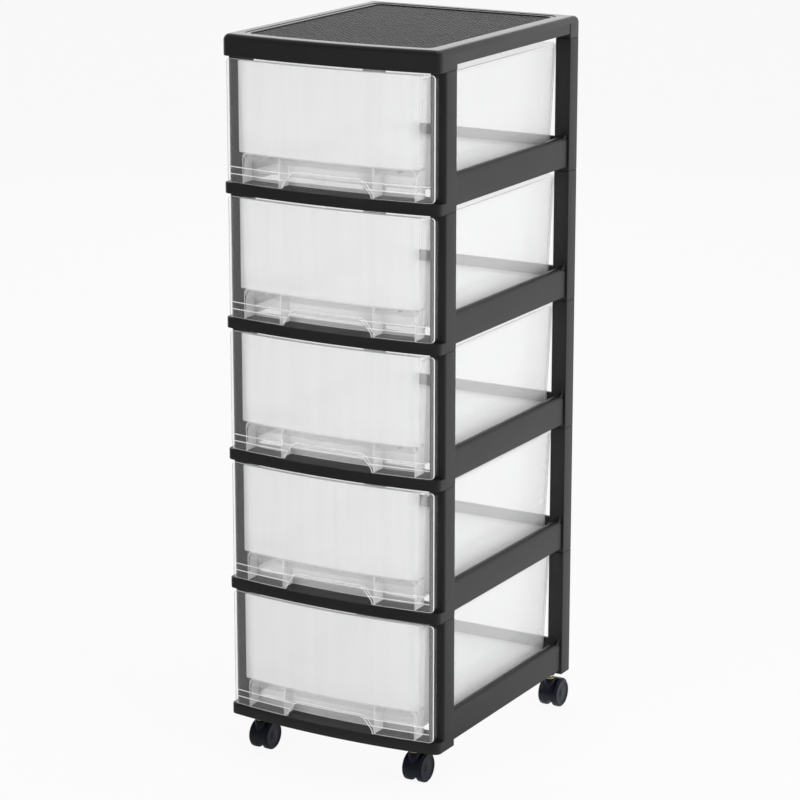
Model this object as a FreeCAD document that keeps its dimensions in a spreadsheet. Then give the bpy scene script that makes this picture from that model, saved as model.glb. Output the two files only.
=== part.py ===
import FreeCAD, Part
import math
import os
import Sketcher

# Plastic drawer tower: five stacking tier frames, a cover, five clear drawers and four casters.
# +X is the right side, the front faces -Y, +Z is up, and the wheels stand on Z = 0.
# The origin lies under the middle of the tower's bounding box.

TIERS = 5
SIDES = (-1, 1)
CLOSE = 0.01
ROOM_SIDES = 12

# Driving dimensions in millimetres, with what each one sets.
DIMENSIONS = [
    ("width", 296, "tower width over the posts"),
    ("depth", 364, "tower depth, middle of the bowed front to the back"),
    ("tier_pitch", 165, "height that one tier adds"),
    ("base_clearance", 45, "floor to the underside of the lowest frame"),
    ("front_bow", 11.5, "how far the middle of the front stands ahead of its ends"),
    ("lip_reach", 13, "ends of the front lip ahead of the posts"),
    ("lip_height", 13.6, "height of the front lip"),
    ("lip_wall", 2.6, "wall of the front lip and its shelf"),
    ("corner_round", 9, "plan radius of the front corners of a lip"),
    ("post_width", 20.5, "post size along X"),
    ("front_post_depth", 27, "front post size along Y"),
    ("rear_post_depth", 25, "rear post size along Y"),
    ("post_wall", 2.2, "wall of the hollow posts"),
    ("post_slope", 2.5, "slope along the outer corners of the posts"),
    ("plug_length", 12, "length of the stacking plugs"),
    ("plug_gap", 0.2, "clearance round a stacking plug"),
    ("rail_lift", 6, "side and back rails above the bottom of a tier"),
    ("side_rail_top", 43.5, "top of the side rails above the bottom of a tier"),
    ("back_rail_top", 39, "top of the back rail above the bottom of a tier"),
    ("rail_wall", 2.5, "wall of the rails"),
    ("rail_inset", 2.5, "rails set in from the outer faces of the posts"),
    ("rail_flange", 6, "width of the flange along the top of a side rail"),
    ("rail_slope", 1.5, "slope along the outer top edge of a side rail"),
    ("back_flange", 5, "depth of the back rail over its top flange"),
    ("rail_gusset", 7, "gusset from a side rail up to the rear post"),
    ("runner_top", 25, "top of the drawer runners above the bottom of a tier"),
    ("runner_width", 31, "drawer runners inwards from the side rail"),
    ("socket_wall", 3, "wall of a caster socket"),
    ("socket_depth", 12.4, "bore depth of a caster socket"),
    ("front_caster_inset", 38, "front caster stems in from the sides"),
    ("front_caster_reach", 4, "front caster stems ahead of the posts"),
    ("rear_caster_inset", 14, "rear caster stems in from the sides"),
    ("rear_caster_setback", 30, "rear caster stems in from the back"),
    ("cover_height", 26, "height of the cover"),
    ("cover_wall", 2.5, "wall of the cover's skirt"),
    ("cover_top", 5.5, "thickness of the cover's top"),
    ("cover_slope", 3.5, "slope along the cover's upper edge"),
    ("panel_border", 24, "border round the recessed panel"),
    ("panel_recess", 3, "depth of the recessed panel"),
    ("panel_corner", 6, "slope across the corners of the recessed panel"),
    ("ledge_width", 6, "ledge round the panel"),
    ("ledge_recess", 0.8, "depth of that ledge"),
    ("cover_rib_wall", 1.8, "ribs under the cover"),
    ("cover_rib_height", 8, "height of the ribs under the cover"),
    ("front_setback", 0.6, "drawer fronts behind the bowed face of the lips"),
    ("front_margin", 7, "drawer front narrower than the tower on each side"),
    ("front_lower_gap", 1, "gap between a drawer front and the lip below it"),
    ("front_upper_gap", 2.4, "gap between a drawer front and the lip above it"),
    ("front_wall", 2, "wall of a drawer front"),
    ("front_corner", 3, "slope across the corners of a drawer front"),
    ("return_wall", 1.6, "thickness of the folded-back sides of a drawer front"),
    ("return_depth", 8, "depth of the folded-back sides of a drawer front"),
    ("bin_side_gap", 3, "drawer bin in from the inner faces of the posts"),
    ("bin_taper", 5.5, "how much narrower each side is at the floor of the bin"),
    ("bin_back_gap", 3, "bin in front of the back rail"),
    ("bin_back_taper", 4, "how much the back wall leans in at the floor"),
    ("bin_wall", 2, "walls and floor of the bin"),
    ("bin_front_wall", 0.8, "what the bin adds behind the drawer front"),
    ("bin_height", 131.5, "height of the bin"),
    ("bin_corner", 6, "slope across the rear corners of the bin"),
    ("slide_gap", 0.3, "running gap between a bin and its runners"),
    ("rim_width", 1.5, "rim standing out round the top of the bin"),
    ("rim_height", 2.4, "thickness of that rim"),
    ("pull_depth", 20, "depth of the finger pull behind the drawer front"),
    ("pull_height", 27, "top of the finger pull above the floor of the bin"),
    ("pull_slope", 11, "slope along the top of the finger pull towards the drawer front"),
    ("notch_half_width", 61, "half width of the finger notch at its mouth"),
    ("notch_height", 20, "height of the finger notch"),
    ("notch_lean", 17, "how much narrower each side of the notch is at its top"),
    ("gusset_wall", 1.6, "gussets inside the finger pull"),
    ("gusset_offset", 3, "gussets outside the mouth of the notch"),
    ("short_rib_inset", 26, "short ribs inside the finger pull, in from its ends"),
    ("short_rib_height", 7, "height of those short ribs"),
    ("wheel_radius", 18, "caster wheel radius"),
    ("wheel_width", 9, "caster wheel width"),
    ("wheel_gap", 0.5, "running gap round a wheel"),
    ("hood_web", 8, "width of the hood between its two wheels"),
    ("hood_wall", 1.3, "wall of the hood over the wheels"),
    ("hood_inset", 2, "hood sides in from the wheels' outer faces"),
    ("hood_drop", 6.3, "lower edge of the hood below the axle"),
    ("hood_neck_wall", 3.5, "wall of the hood's neck round the stem"),
    ("hood_neck_rise", 21.5, "top of the neck above the axle"),
    ("caster_trail", 10, "axle behind the stem"),
    ("axle_radius", 2, "wheel axle radius"),
    ("axle_gap", 0.05, "radial clearance round an axle or a stem"),
    ("stem_radius", 3.5, "radius of a caster stem"),
    ("pin_depth", 12, "stem inside the neck"),
    ("pin_tip_gap", 0.3, "room beyond the ends of a stem"),
    ("overrun", 3, "how far cuts run past the material"),
]


class Size:
    """A length with the expression that keeps it bound to the spreadsheet."""

    def __init__(self, value, text):
        self.value = float(value)
        self.text = text

    def __add__(self, other):
        other = as_size(other)
        return Size(self.value + other.value, f"({self.text} + {other.text})")

    def __sub__(self, other):
        other = as_size(other)
        return Size(self.value - other.value, f"({self.text} - {other.text})")

    def __mul__(self, other):
        other = as_size(other)
        return Size(self.value * other.value, f"({self.text} * {other.text})")

    def __truediv__(self, other):
        other = as_size(other)
        return Size(self.value / other.value, f"({self.text} / {other.text})")

    def __neg__(self):
        return Size(-self.value, f"(0 - {self.text})")

    __radd__ = __add__
    __rmul__ = __mul__


def as_size(number):
    return number if isinstance(number, Size) else Size(number, repr(number))


class Sizes:
    """The driving dimensions by name."""


def root(amount):
    return Size(math.sqrt(amount.value), f"sqrt({amount.text})")


document = FreeCAD.newDocument("drawer_tower")
sheet = document.addObject("Spreadsheet::Sheet", "sizes")
size = Sizes()
for row, (alias, number, meaning) in enumerate(DIMENSIONS, start=1):
    sheet.set(f"A{row}", alias)
    sheet.set(f"B{row}", str(number))
    sheet.set(f"C{row}", meaning)
    sheet.setAlias(f"B{row}", alias)
    setattr(size, alias, Size(number, f"sizes.{alias}"))
document.recompute()


# Places worked out from the driving dimensions.
half_width = size.width / 2
back_y = size.depth / 2
bow_y = -size.depth / 2
lip_end_y = bow_y + size.front_bow
post_y = lip_end_y + size.lip_reach
front_post_back_y = post_y + size.front_post_depth
rear_post_front_y = back_y - size.rear_post_depth
post_inner = half_width - size.post_width
rail_outer = half_width - size.rail_inset
rail_inner = rail_outer - size.rail_wall
bow_radius = (half_width * half_width + size.front_bow * size.front_bow) / (size.front_bow * 2)
stack_height = size.base_clearance + size.tier_pitch * TIERS
total_height = stack_height + size.cover_height


def bow_at(across, setback):
    """Y of the bowed front, moved back by setback, at a distance across from the middle."""
    reach = bow_radius - setback
    return bow_y + bow_radius - root(reach * reach - across * across)


def bind(owner, place, amount):
    owner.setExpression(place, as_size(amount).text)


def role_plane(body, role):
    return [item for item in body.Origin.OriginFeatures if item.Role == role][0]


def new_body(name):
    return document.addObject("PartDesign::Body", name)


def sketch(body, name, role, corners, lift=0):
    """A closed outline. A corner is (x, y), or (x, y, radius) when the side that leaves it is
    an arc: its centre lies left of the way round for a positive radius, right for a negative one."""
    drawing = body.newObject("Sketcher::SketchObject", name)
    drawing.AttachmentSupport = [(role_plane(body, role), "")]
    drawing.MapMode = "FlatFace"
    lift = as_size(lift)
    if lift.value != 0:
        drawing.AttachmentOffset = FreeCAD.Placement(FreeCAD.Vector(0, 0, lift.value), FreeCAD.Rotation())
        bind(drawing, "AttachmentOffset.Base.z", lift)
    points = [(as_size(corner[0]), as_size(corner[1])) for corner in corners]
    ends = []
    for number, corner in enumerate(corners):
        start, finish = points[number], points[(number + 1) % len(points)]
        here = FreeCAD.Vector(start[0].value, start[1].value, 0)
        there = FreeCAD.Vector(finish[0].value, finish[1].value, 0)
        if len(corner) == 2:
            edge = drawing.addGeometry(Part.LineSegment(here, there))
            ends.append((edge, 1, 2))
            continue
        radius = corner[2]
        run = there - here
        rise = math.sqrt(max(radius.value ** 2 - (run.Length / 2) ** 2, 0))
        left = FreeCAD.Vector(-run.y, run.x, 0).normalize()
        centre = (here + there) * 0.5 + left * math.copysign(rise, radius.value)
        turn_left = radius.value > 0
        first, last = (here, there) if turn_left else (there, here)
        start_angle = math.atan2(first.y - centre.y, first.x - centre.x)
        end_angle = math.atan2(last.y - centre.y, last.x - centre.x)
        circle = Part.Circle(centre, FreeCAD.Vector(0, 0, 1), abs(radius.value))
        edge = drawing.addGeometry(Part.ArcOfCircle(circle, start_angle, end_angle))
        ends.append((edge, 1, 2) if turn_left else (edge, 2, 1))
        limit = radius if turn_left else -radius
        index = drawing.addConstraint(Sketcher.Constraint("Radius", edge, limit.value))
        bind(drawing, f"Constraints[{index}]", limit)
    for number, (edge, start_end, finish_end) in enumerate(ends):
        following = ends[(number + 1) % len(ends)]
        drawing.addConstraint(
            Sketcher.Constraint("Coincident", edge, finish_end, following[0], following[1]))
        for kind, amount in zip(("DistanceX", "DistanceY"), points[number]):
            index = drawing.addConstraint(
                Sketcher.Constraint(kind, -1, 1, edge, start_end, amount.value))
            bind(drawing, f"Constraints[{index}]", amount)
    return drawing


def extrude(kind, body, profile, length, reverse):
    feature = body.newObject("PartDesign::" + kind, profile.Name + "_" + kind.lower())
    feature.Profile = profile
    feature.Reversed = reverse
    bind(feature, "Length", length)
    profile.Visibility = False
    return feature


def pad(body, profile, length, reverse=False):
    return extrude("Pad", body, profile, length, reverse)


def pocket(body, profile, length, reverse=False):
    """Cuts along the sketch normal's far side; reverse cuts along the normal."""
    document.recompute()
    before = body.Shape.Volume
    feature = extrude("Pocket", body, profile, length, reverse)
    document.recompute()
    if not body.Shape.Volume < before:
        raise RuntimeError(feature.Label + " cuts nothing")
    return feature


def mirror(body, features, role):
    feature = body.newObject("PartDesign::Mirrored", "mirrored_" + features[0].Name)
    feature.Originals = features
    feature.MirrorPlane = (role_plane(body, role), [""])
    body.Tip = feature
    return feature


def finish_edges(body, amount, wanted, kind="Fillet"):
    """Rounds, or with kind Chamfer slopes, the edges of the body that wanted(edge) picks."""
    document.recompute()
    names = [f"Edge{i}" for i, edge in enumerate(body.Shape.Edges, start=1) if wanted(edge)]
    if not names:
        raise RuntimeError("no edge to finish on " + body.Label)
    carrier = body.Tip
    feature = body.newObject("PartDesign::" + kind, body.Name + "_" + kind.lower())
    feature.Base = (carrier, names)
    bind(feature, "Radius" if kind == "Fillet" else "Size", amount)
    document.recompute()
    if "Invalid" in feature.State:
        raise RuntimeError(feature.Label + " can't be made")
    return feature


def close(first, second):
    return abs(first - as_size(second).value) < CLOSE


def upright(edge):
    """True for a straight edge along Z."""
    return len(edge.Vertexes) == 2 and math.hypot(
        edge.Vertexes[0].X - edge.Vertexes[1].X, edge.Vertexes[0].Y - edge.Vertexes[1].Y) < CLOSE


def disc(body, name, role, radius, x=0, y=0, lift=0):
    """A circle in a sketch of its own."""
    drawing = body.newObject("Sketcher::SketchObject", name)
    drawing.AttachmentSupport = [(role_plane(body, role), "")]
    drawing.MapMode = "FlatFace"
    lift = as_size(lift)
    drawing.AttachmentOffset = FreeCAD.Placement(FreeCAD.Vector(0, 0, lift.value), FreeCAD.Rotation())
    bind(drawing, "AttachmentOffset.Base.z", lift)
    centre = FreeCAD.Vector(as_size(x).value, as_size(y).value, 0)
    drawing.addGeometry(Part.Circle(centre, FreeCAD.Vector(0, 0, 1), radius.value))
    bindings = [
        (Sketcher.Constraint("Radius", 0, radius.value), radius),
        (Sketcher.Constraint("DistanceX", -1, 1, 0, 3, as_size(x).value), x),
        (Sketcher.Constraint("DistanceY", -1, 1, 0, 3, as_size(y).value), y),
    ]
    for constraint, amount in bindings:
        bind(drawing, f"Constraints[{drawing.addConstraint(constraint)}]", amount)
    return drawing


def loft(kind, body, name, first, last):
    feature = body.newObject("PartDesign::" + kind, name)
    feature.Profile = first
    feature.Sections = [last]
    feature.Ruled = True
    return feature


def box_corners(low_x, low_y, high_x, high_y):
    return [(low_x, low_y), (high_x, low_y), (high_x, high_y), (low_x, high_y)]


def place(item, x=0, y=0, z=0):
    """Binds an object's place to the sizes."""
    for axis, amount in zip("xyz", (x, y, z)):
        if as_size(amount).text not in ("0", "0.0"):
            bind(item, "Placement.Base." + axis, amount)
    return item


def group(kind, name, members):
    item = document.addObject(kind, name)
    if kind == "Part::Compound":
        item.Links = members
    else:
        item.Shapes = members
    return item


def cut(name, base, tool):
    item = document.addObject("Part::Cut", name)
    item.Base = base
    item.Tool = tool
    return item


def cylinder(name, radius, height, x=0, y=0, z=0):
    item = document.addObject("Part::Cylinder", name)
    bind(item, "Radius", radius)
    bind(item, "Height", height)
    return place(item, x, y, z)


def add_posts(body, name, bottom, height, inset):
    """Four upright blocks on the posts' plan, each drawn in by inset on every side."""
    features = []
    for end, low_y, high_y in (
            ("front", post_y, front_post_back_y), ("rear", rear_post_front_y, back_y)):
        corners = box_corners(
            post_inner + inset, low_y + inset, half_width - inset, high_y - inset)
        features.append(pad(body, sketch(body, f"{name}_{end}", "XY_Plane", corners, bottom), height))
    mirror(body, features, "YZ_Plane")


def hollow_posts(body, name, bottom, depth, inset):
    """Four blind holes down the same plan, from bottom up."""
    features = []
    for end, low_y, high_y in (
            ("front", post_y, front_post_back_y), ("rear", rear_post_front_y, back_y)):
        corners = box_corners(
            post_inner + inset, low_y + inset, half_width - inset, high_y - inset)
        profile = sketch(body, f"{name}_{end}", "XY_Plane", corners, bottom)
        features.append(pocket(body, profile, depth, reverse=True))
    mirror(body, features, "YZ_Plane")


def nose_outline(inset, back):
    """Plan of the bowed front down to the Y of back, drawn in by inset."""
    across = half_width - inset
    front = bow_at(across, inset)
    return [(-across, back), (-across, front, bow_radius - inset), (across, front), (across, back)]


# Tier frame, with its own zero at the bottom of the lip.
def make_tier():
    body = new_body("tier_form")
    nose = sketch(body, "shelf_plan", "XY_Plane", nose_outline(0, front_post_back_y))
    pad(body, nose, size.lip_height)
    finish_edges(body, size.corner_round, lambda edge: upright(edge) and close(
        edge.Vertexes[0].Y, bow_at(half_width, 0)))
    hollow = sketch(body, "shelf_hollow", "XY_Plane",
                    nose_outline(size.lip_wall, front_post_back_y + size.overrun))
    pocket(body, hollow, size.lip_height - size.lip_wall, reverse=True)
    add_posts(body, "post", 0, size.tier_pitch, 0)
    finish_edges(body, size.post_slope, lambda edge: upright(edge) and close(
        abs(edge.Vertexes[0].X), half_width) and (
            close(edge.Vertexes[0].Y, post_y) or close(edge.Vertexes[0].Y, back_y)), "Chamfer")
    rail_top = size.side_rail_top
    runner_edge = rail_inner - size.runner_width
    rail = sketch(body, "side_rail", "XZ_Plane", [
        (rail_outer, size.rail_lift),
        (rail_outer, rail_top - size.rail_slope),
        (rail_outer - size.rail_slope, rail_top),
        (rail_inner - size.rail_flange, rail_top),
        (rail_inner - size.rail_flange, rail_top - size.rail_wall),
        (rail_inner, rail_top - size.rail_wall),
        (rail_inner, size.runner_top),
        (runner_edge, size.runner_top),
        (runner_edge, size.runner_top - size.rail_wall),
        (rail_inner, size.runner_top - size.rail_wall),
        (rail_inner, size.rail_lift),
    ], -front_post_back_y)
    rail_pad = pad(body, rail, rear_post_front_y - front_post_back_y, reverse=True)
    gusset = sketch(body, "rail_gusset", "YZ_Plane", [
        (rear_post_front_y - size.rail_gusset, rail_top),
        (rear_post_front_y, rail_top),
        (rear_post_front_y, rail_top + size.rail_gusset),
    ], rail_inner)
    gusset_pad = pad(body, gusset, size.rail_wall)
    mirror(body, [rail_pad, gusset_pad], "YZ_Plane")
    back_rail = sketch(body, "back_rail", "YZ_Plane", [
        (back_y - size.back_flange, size.rail_lift),
        (back_y - size.back_flange + size.rail_wall, size.rail_lift),
        (back_y - size.back_flange + size.rail_wall, size.back_rail_top - size.rail_wall),
        (back_y, size.back_rail_top - size.rail_wall),
        (back_y, size.back_rail_top),
        (back_y - size.back_flange, size.back_rail_top),
    ], -post_inner)
    pad(body, back_rail, post_inner * 2)
    hollow_posts(body, "post_hollow", size.post_wall, size.tier_pitch, size.post_wall)
    return body


# Plugs that drop into the hollow posts below.
def make_plugs():
    body = new_body("plug_form")
    snug = size.post_wall + size.plug_gap
    add_posts(body, "plug", -size.plug_length, size.plug_length, snug)
    hollow_posts(body, "plug_hollow", -size.plug_length, size.plug_length - size.post_wall,
                 snug + size.post_wall)
    return body


# Cover, with its own zero at the seam on top of the highest tier.
def make_cover():
    body = new_body("cover_form")
    top = size.cover_height
    pad(body, sketch(body, "cover_plan", "XY_Plane", nose_outline(0, back_y)), top)
    finish_edges(body, size.corner_round, lambda edge: upright(edge) and edge.Vertexes[0].Y < 0)
    finish_edges(body, size.post_slope, lambda edge: upright(edge) and close(
        edge.Vertexes[0].Y, back_y), "Chamfer")
    finish_edges(body, size.cover_slope, lambda edge: close(edge.BoundBox.ZMin, top)
                 and close(edge.BoundBox.ZMax, top), "Chamfer")
    hollow = sketch(body, "cover_hollow", "XY_Plane",
                    nose_outline(size.cover_wall, back_y - size.cover_wall))
    pocket(body, hollow, top - size.cover_top, reverse=True)
    add_posts(body, "corner_block", 0, top - size.cover_top * 0.8, size.cover_wall * 0.6)
    relief = sketch(body, "side_relief", "YZ_Plane", box_corners(
        front_post_back_y, -size.overrun, rear_post_front_y, size.rail_lift),
        -half_width - size.overrun)
    pocket(body, relief, size.width + size.overrun * 2, reverse=True)
    relief = sketch(body, "rear_relief", "XZ_Plane", box_corners(
        -post_inner, -size.overrun, post_inner, size.rail_lift), -back_y - size.overrun)
    pocket(body, relief, size.cover_wall + size.overrun * 2, reverse=True)
    for name, border, recess, corner in (
            ("ledge", size.panel_border - size.ledge_width, size.ledge_recess,
             size.panel_corner + size.ledge_width / 2),
            ("panel", size.panel_border, size.panel_recess, size.panel_corner)):
        across = half_width - border
        front = bow_at(across, border)
        outline = [(-across, back_y - border), (-across, front, bow_radius - border),
                   (across, front), (across, back_y - border)]
        profile = sketch(body, name, "XY_Plane", outline, top - recess)
        pocket(body, profile, recess + size.overrun, reverse=True)
        finish_edges(body, corner, lambda edge: upright(edge) and close(
            abs(edge.Vertexes[0].X), across) and edge.BoundBox.ZMin > (top - size.cover_top).value,
                     "Chamfer")
    cross = sketch(body, "cover_rib", "XY_Plane", box_corners(
        -half_width + size.cover_wall / 2, -size.cover_rib_wall / 2,
        half_width - size.cover_wall / 2, size.cover_rib_wall / 2),
        top - size.cover_top - size.cover_rib_height)
    pad(body, cross, size.cover_rib_height + size.cover_top / 4)
    length = sketch(body, "cover_long_rib", "XY_Plane", box_corners(
        -size.cover_rib_wall / 2, bow_y + size.cover_wall / 2,
        size.cover_rib_wall / 2, back_y - size.cover_wall / 2),
        top - size.cover_top - size.cover_rib_height)
    pad(body, length, size.cover_rib_height + size.cover_top / 4)
    return body


# Drawer, with its own zero at the bottom of the tier that holds it.
front_bottom = size.lip_height + size.front_lower_gap
front_top = size.tier_pitch - size.front_upper_gap
front_half = half_width - size.front_margin
floor_bottom = size.runner_top + size.slide_gap
bin_top = floor_bottom + size.bin_height
bin_half = post_inner - size.bin_side_gap
bin_back = back_y - size.back_flange - size.bin_back_gap
pull_top = floor_bottom + size.pull_height
pull_half = bin_half - size.bin_taper - size.bin_wall / 2
plate_front = size.front_setback
plate_back = plate_front + size.front_wall
plate_middle = plate_front + size.front_wall / 2
pull_back = plate_back + size.pull_depth


def bin_outline(half, back, setback, corner):
    """Plan of the bin: bowed front at setback, straight sides and a back with sloped corners."""
    front = bow_at(half, setback)
    return [(-half, back - corner), (-half, front, bow_radius - setback), (half, front),
            (half, back - corner), (half - corner, back), (corner - half, back)]


def bowed_strip(half, near, far):
    """Plan of a band that follows the bowed front, from setback near to setback far."""
    return [(-half, bow_at(half, far)), (-half, bow_at(half, near), bow_radius - near),
            (half, bow_at(half, near)), (half, bow_at(half, far), far - bow_radius)]


def make_bin():
    body = new_body("bin_form")
    floor_half = bin_half - size.bin_taper
    floor_back = bin_back - size.bin_back_taper
    bottom = sketch(body, "bin_bottom", "XY_Plane", bin_outline(
        floor_half, floor_back, plate_middle, size.bin_corner), floor_bottom)
    mouth = sketch(body, "bin_mouth", "XY_Plane", bin_outline(
        bin_half, bin_back, plate_middle, size.bin_corner), bin_top)
    loft("AdditiveLoft", body, "bin_block", bottom, mouth)
    rim = sketch(body, "rim_plan", "XY_Plane", bin_outline(
        bin_half + size.rim_width, bin_back + size.rim_width, plate_middle,
        size.bin_corner), bin_top - size.rim_height)
    pad(body, rim, size.rim_height)
    rise_share = (size.bin_height + size.overrun) / size.bin_height
    floor_share = size.bin_wall / size.bin_height
    setback = plate_back + size.bin_front_wall
    inside_floor = sketch(body, "bin_inside_floor", "XY_Plane", bin_outline(
        floor_half + size.bin_taper * floor_share - size.bin_wall,
        floor_back + size.bin_back_taper * floor_share - size.bin_wall, setback,
        size.bin_corner), floor_bottom + size.bin_wall)
    inside_mouth = sketch(body, "bin_inside_mouth", "XY_Plane", bin_outline(
        floor_half + size.bin_taper * rise_share - size.bin_wall,
        floor_back + size.bin_back_taper * rise_share - size.bin_wall, setback,
        size.bin_corner), bin_top + size.overrun)
    loft("SubtractiveLoft", body, "bin_space", inside_floor, inside_mouth)
    return body


def make_pull(name, front, back, half, low, high, slope):
    """The finger pull's block: it follows the bow and slopes off towards the front."""
    body = new_body(name)
    pad(body, sketch(body, name + "_plan", "XY_Plane", bowed_strip(half, front, back), low),
        high - low)
    finish_edges(body, slope, lambda edge: close(edge.BoundBox.ZMin, high) and close(
        edge.Vertexes[0].Y, bow_at(half, front)) and edge.Length > half.value, "Chamfer")
    return body


def make_front():
    body = new_body("front_form")
    height = front_top - front_bottom
    pad(body, sketch(body, "front_plan", "XY_Plane",
                     bowed_strip(front_half, plate_front, plate_back), front_bottom), height)
    finish_edges(body, size.front_corner, lambda edge: close(edge.BoundBox.ZLength, 0) and close(
        abs(edge.BoundBox.Center.x), front_half) and edge.BoundBox.XLength < CLOSE, "Chamfer")
    side_front = bow_at(front_half, plate_middle)
    side = sketch(body, "front_return", "XY_Plane", box_corners(
        front_half - size.return_wall, side_front,
        front_half, side_front + size.front_wall / 2 + size.return_depth),
        front_bottom + size.front_corner)
    mirror(body, [pad(body, side, height - size.front_corner * 2)], "YZ_Plane")
    return body


def make_notch():
    """What is cut out of the drawer front for the fingers."""
    body = new_body("notch_form")
    mouth = size.notch_half_width
    crest = mouth - size.notch_lean
    notch = sketch(body, "notch", "XZ_Plane", [
        (-mouth, front_bottom - size.overrun), (mouth, front_bottom - size.overrun),
        (mouth, front_bottom), (crest, front_bottom + size.notch_height),
        (-crest, front_bottom + size.notch_height), (-mouth, front_bottom)],
        size.overrun - bow_y)
    pad(body, notch, bow_at(mouth, plate_back) - bow_y + size.overrun * 1.5, reverse=True)
    return body


def make_drawer_shape():
    """Everything that the five drawers share; each drawer is a copy of it in its tier."""
    bin_body = make_bin()
    pull = make_pull("pull_form", plate_front, pull_back, pull_half, floor_bottom, pull_top,
                     size.pull_slope)
    space = make_pull("pull_space", plate_back, pull_back - size.bin_wall,
                      pull_half - size.bin_wall / 2, floor_bottom - size.overrun,
                      pull_top - size.bin_wall, size.pull_slope)
    ribs = []
    for side in SIDES:
        full = document.addObject("Part::Box", "gusset_slab")
        short = document.addObject("Part::Box", "short_rib_slab")
        places = (
            (full, size.notch_half_width + size.gusset_offset, floor_bottom - size.overrun,
             size.pull_height + size.overrun),
            (short, pull_half - size.short_rib_inset, pull_top - size.short_rib_height,
             size.short_rib_height),
        )
        for slab, across, low, tall in places:
            bind(slab, "Length", size.gusset_wall)
            bind(slab, "Width", pull_back + size.front_bow)
            bind(slab, "Height", tall)
            place(slab, side * across - size.gusset_wall / 2, bow_y, low)
            ribs.append(slab)
    rooms = cut("pull_rooms", space, group("Part::Compound", "pull_ribs", ribs))
    shell = cut("drawer_shell", group("Part::MultiFuse", "bin_with_pull", [bin_body, pull]), rooms)
    whole = group("Part::MultiFuse", "drawer_without_notch", [shell, make_front()])
    return cut("drawer_shape", whole, make_notch())


# Caster pieces. The stem's zero is the underside of the tower, the others' zero is the axle.
hood_radius = size.wheel_radius + size.wheel_gap + size.hood_wall
wheel_inner = size.hood_web / 2 + size.wheel_gap
wheel_outer = wheel_inner + size.wheel_width
hood_half = wheel_outer - size.hood_inset
bore_radius = size.axle_radius + size.axle_gap


def make_stem():
    reach = size.hood_neck_rise - size.pin_depth
    low = size.wheel_radius + reach - size.base_clearance
    return cylinder("stem_form", size.stem_radius,
                    size.socket_depth - size.pin_tip_gap - low, z=low)


def make_hood():
    body = new_body("hood_form")
    reach = root(hood_radius * hood_radius - size.hood_drop * size.hood_drop)
    shape = sketch(body, "hood_profile", "YZ_Plane", [
        (-reach, -size.hood_drop), (reach, -size.hood_drop, hood_radius)], -hood_half)
    pad(body, shape, hood_half * 2)
    reach = size.stem_radius + size.hood_neck_wall
    neck = sketch(body, "neck", "XY_Plane", box_corners(
        -reach, -size.caster_trail - reach, reach, reach - size.caster_trail))
    pad(body, neck, size.hood_neck_rise)
    turn = math.pi / ROOM_SIDES
    corner_radius = (size.wheel_radius + size.wheel_gap) / math.cos(turn)
    corners = [(corner_radius * math.cos(turn * 2 * number), corner_radius * math.sin(turn * 2 * number))
               for number in range(ROOM_SIDES)]
    for side in SIDES:
        room = sketch(body, "wheel_room", "YZ_Plane", corners, side * (size.hood_web / 2))
        pocket(body, room, hood_half, reverse=side > 0)
    bore = disc(body, "axle_bore", "YZ_Plane", bore_radius, 0, 0, -size.hood_web)
    pocket(body, bore, size.hood_web * 2, reverse=True)
    stem_bore = disc(body, "stem_bore", "XY_Plane", size.stem_radius + size.axle_gap, 0,
                     -size.caster_trail, size.hood_neck_rise)
    pocket(body, stem_bore, size.pin_depth + size.pin_tip_gap)
    return body


def make_wheels():
    """Both wheels of a caster on the axle that joins them."""
    body = new_body("wheels_form")
    profile = sketch(body, "wheels_profile", "XZ_Plane", [
        (-wheel_outer, 0), (wheel_outer, 0), (wheel_outer, size.wheel_radius),
        (wheel_inner, size.wheel_radius), (wheel_inner, size.axle_radius),
        (-wheel_inner, size.axle_radius), (-wheel_inner, size.wheel_radius),
        (-wheel_outer, size.wheel_radius)])
    feature = body.newObject("PartDesign::Revolution", "wheels_turned")
    feature.Profile = profile
    feature.ReferenceAxis = (profile, ["H_Axis"])
    feature.Angle = 360
    profile.Visibility = False
    return body


# Assembly: every sub-part by its node name.
nodes = {}


def keep(name, item, x=0, y=0, z=0):
    item.Label = name
    nodes[name] = place(item, x, y, z)
    return item


def copy_of(name, master, x=0, y=0, z=0):
    return keep(name, group("Part::Compound", name, [master]), x, y, z)


caster_places = {
    "front_left": (size.front_caster_inset - half_width, post_y - size.front_caster_reach),
    "front_right": (half_width - size.front_caster_inset, post_y - size.front_caster_reach),
    "rear_left": (size.rear_caster_inset - half_width, back_y - size.rear_caster_setback),
    "rear_right": (half_width - size.rear_caster_inset, back_y - size.rear_caster_setback),
}

tier_form = make_tier()
plug_form = make_plugs()
socket_parts = [tier_form]
bores = []
for corner, (stem_x, stem_y) in caster_places.items():
    ceiling = size.lip_height if corner.startswith("front") else size.runner_top
    wall = size.lip_wall if corner.startswith("front") else size.rail_wall
    reach = size.stem_radius + size.socket_wall
    socket = document.addObject("Part::Box", "socket_" + corner)
    bind(socket, "Length", reach * 2)
    bind(socket, "Width", reach * 2)
    bind(socket, "Height", ceiling - wall / 2)
    socket_parts.append(place(socket, stem_x - reach, stem_y - reach))
    bores.append(cylinder("bore_" + corner, size.stem_radius + size.axle_gap,
                          size.socket_depth + size.overrun, stem_x, stem_y, -size.overrun))
sockets = group("Part::MultiFuse", "tier_with_sockets", socket_parts)
base = cut("tier_frame_1", sockets, group("Part::Compound", "socket_bores", bores))
keep("tier_frame_1", base, z=size.base_clearance)
for tier in range(1, TIERS):
    name = f"tier_frame_{tier + 1}"
    frame = group("Part::MultiFuse", name, [tier_form, plug_form])
    keep(name, frame, z=size.base_clearance + size.tier_pitch * tier)
keep("top_cover", group("Part::MultiFuse", "top_cover", [make_cover(), plug_form]), z=stack_height)

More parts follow.
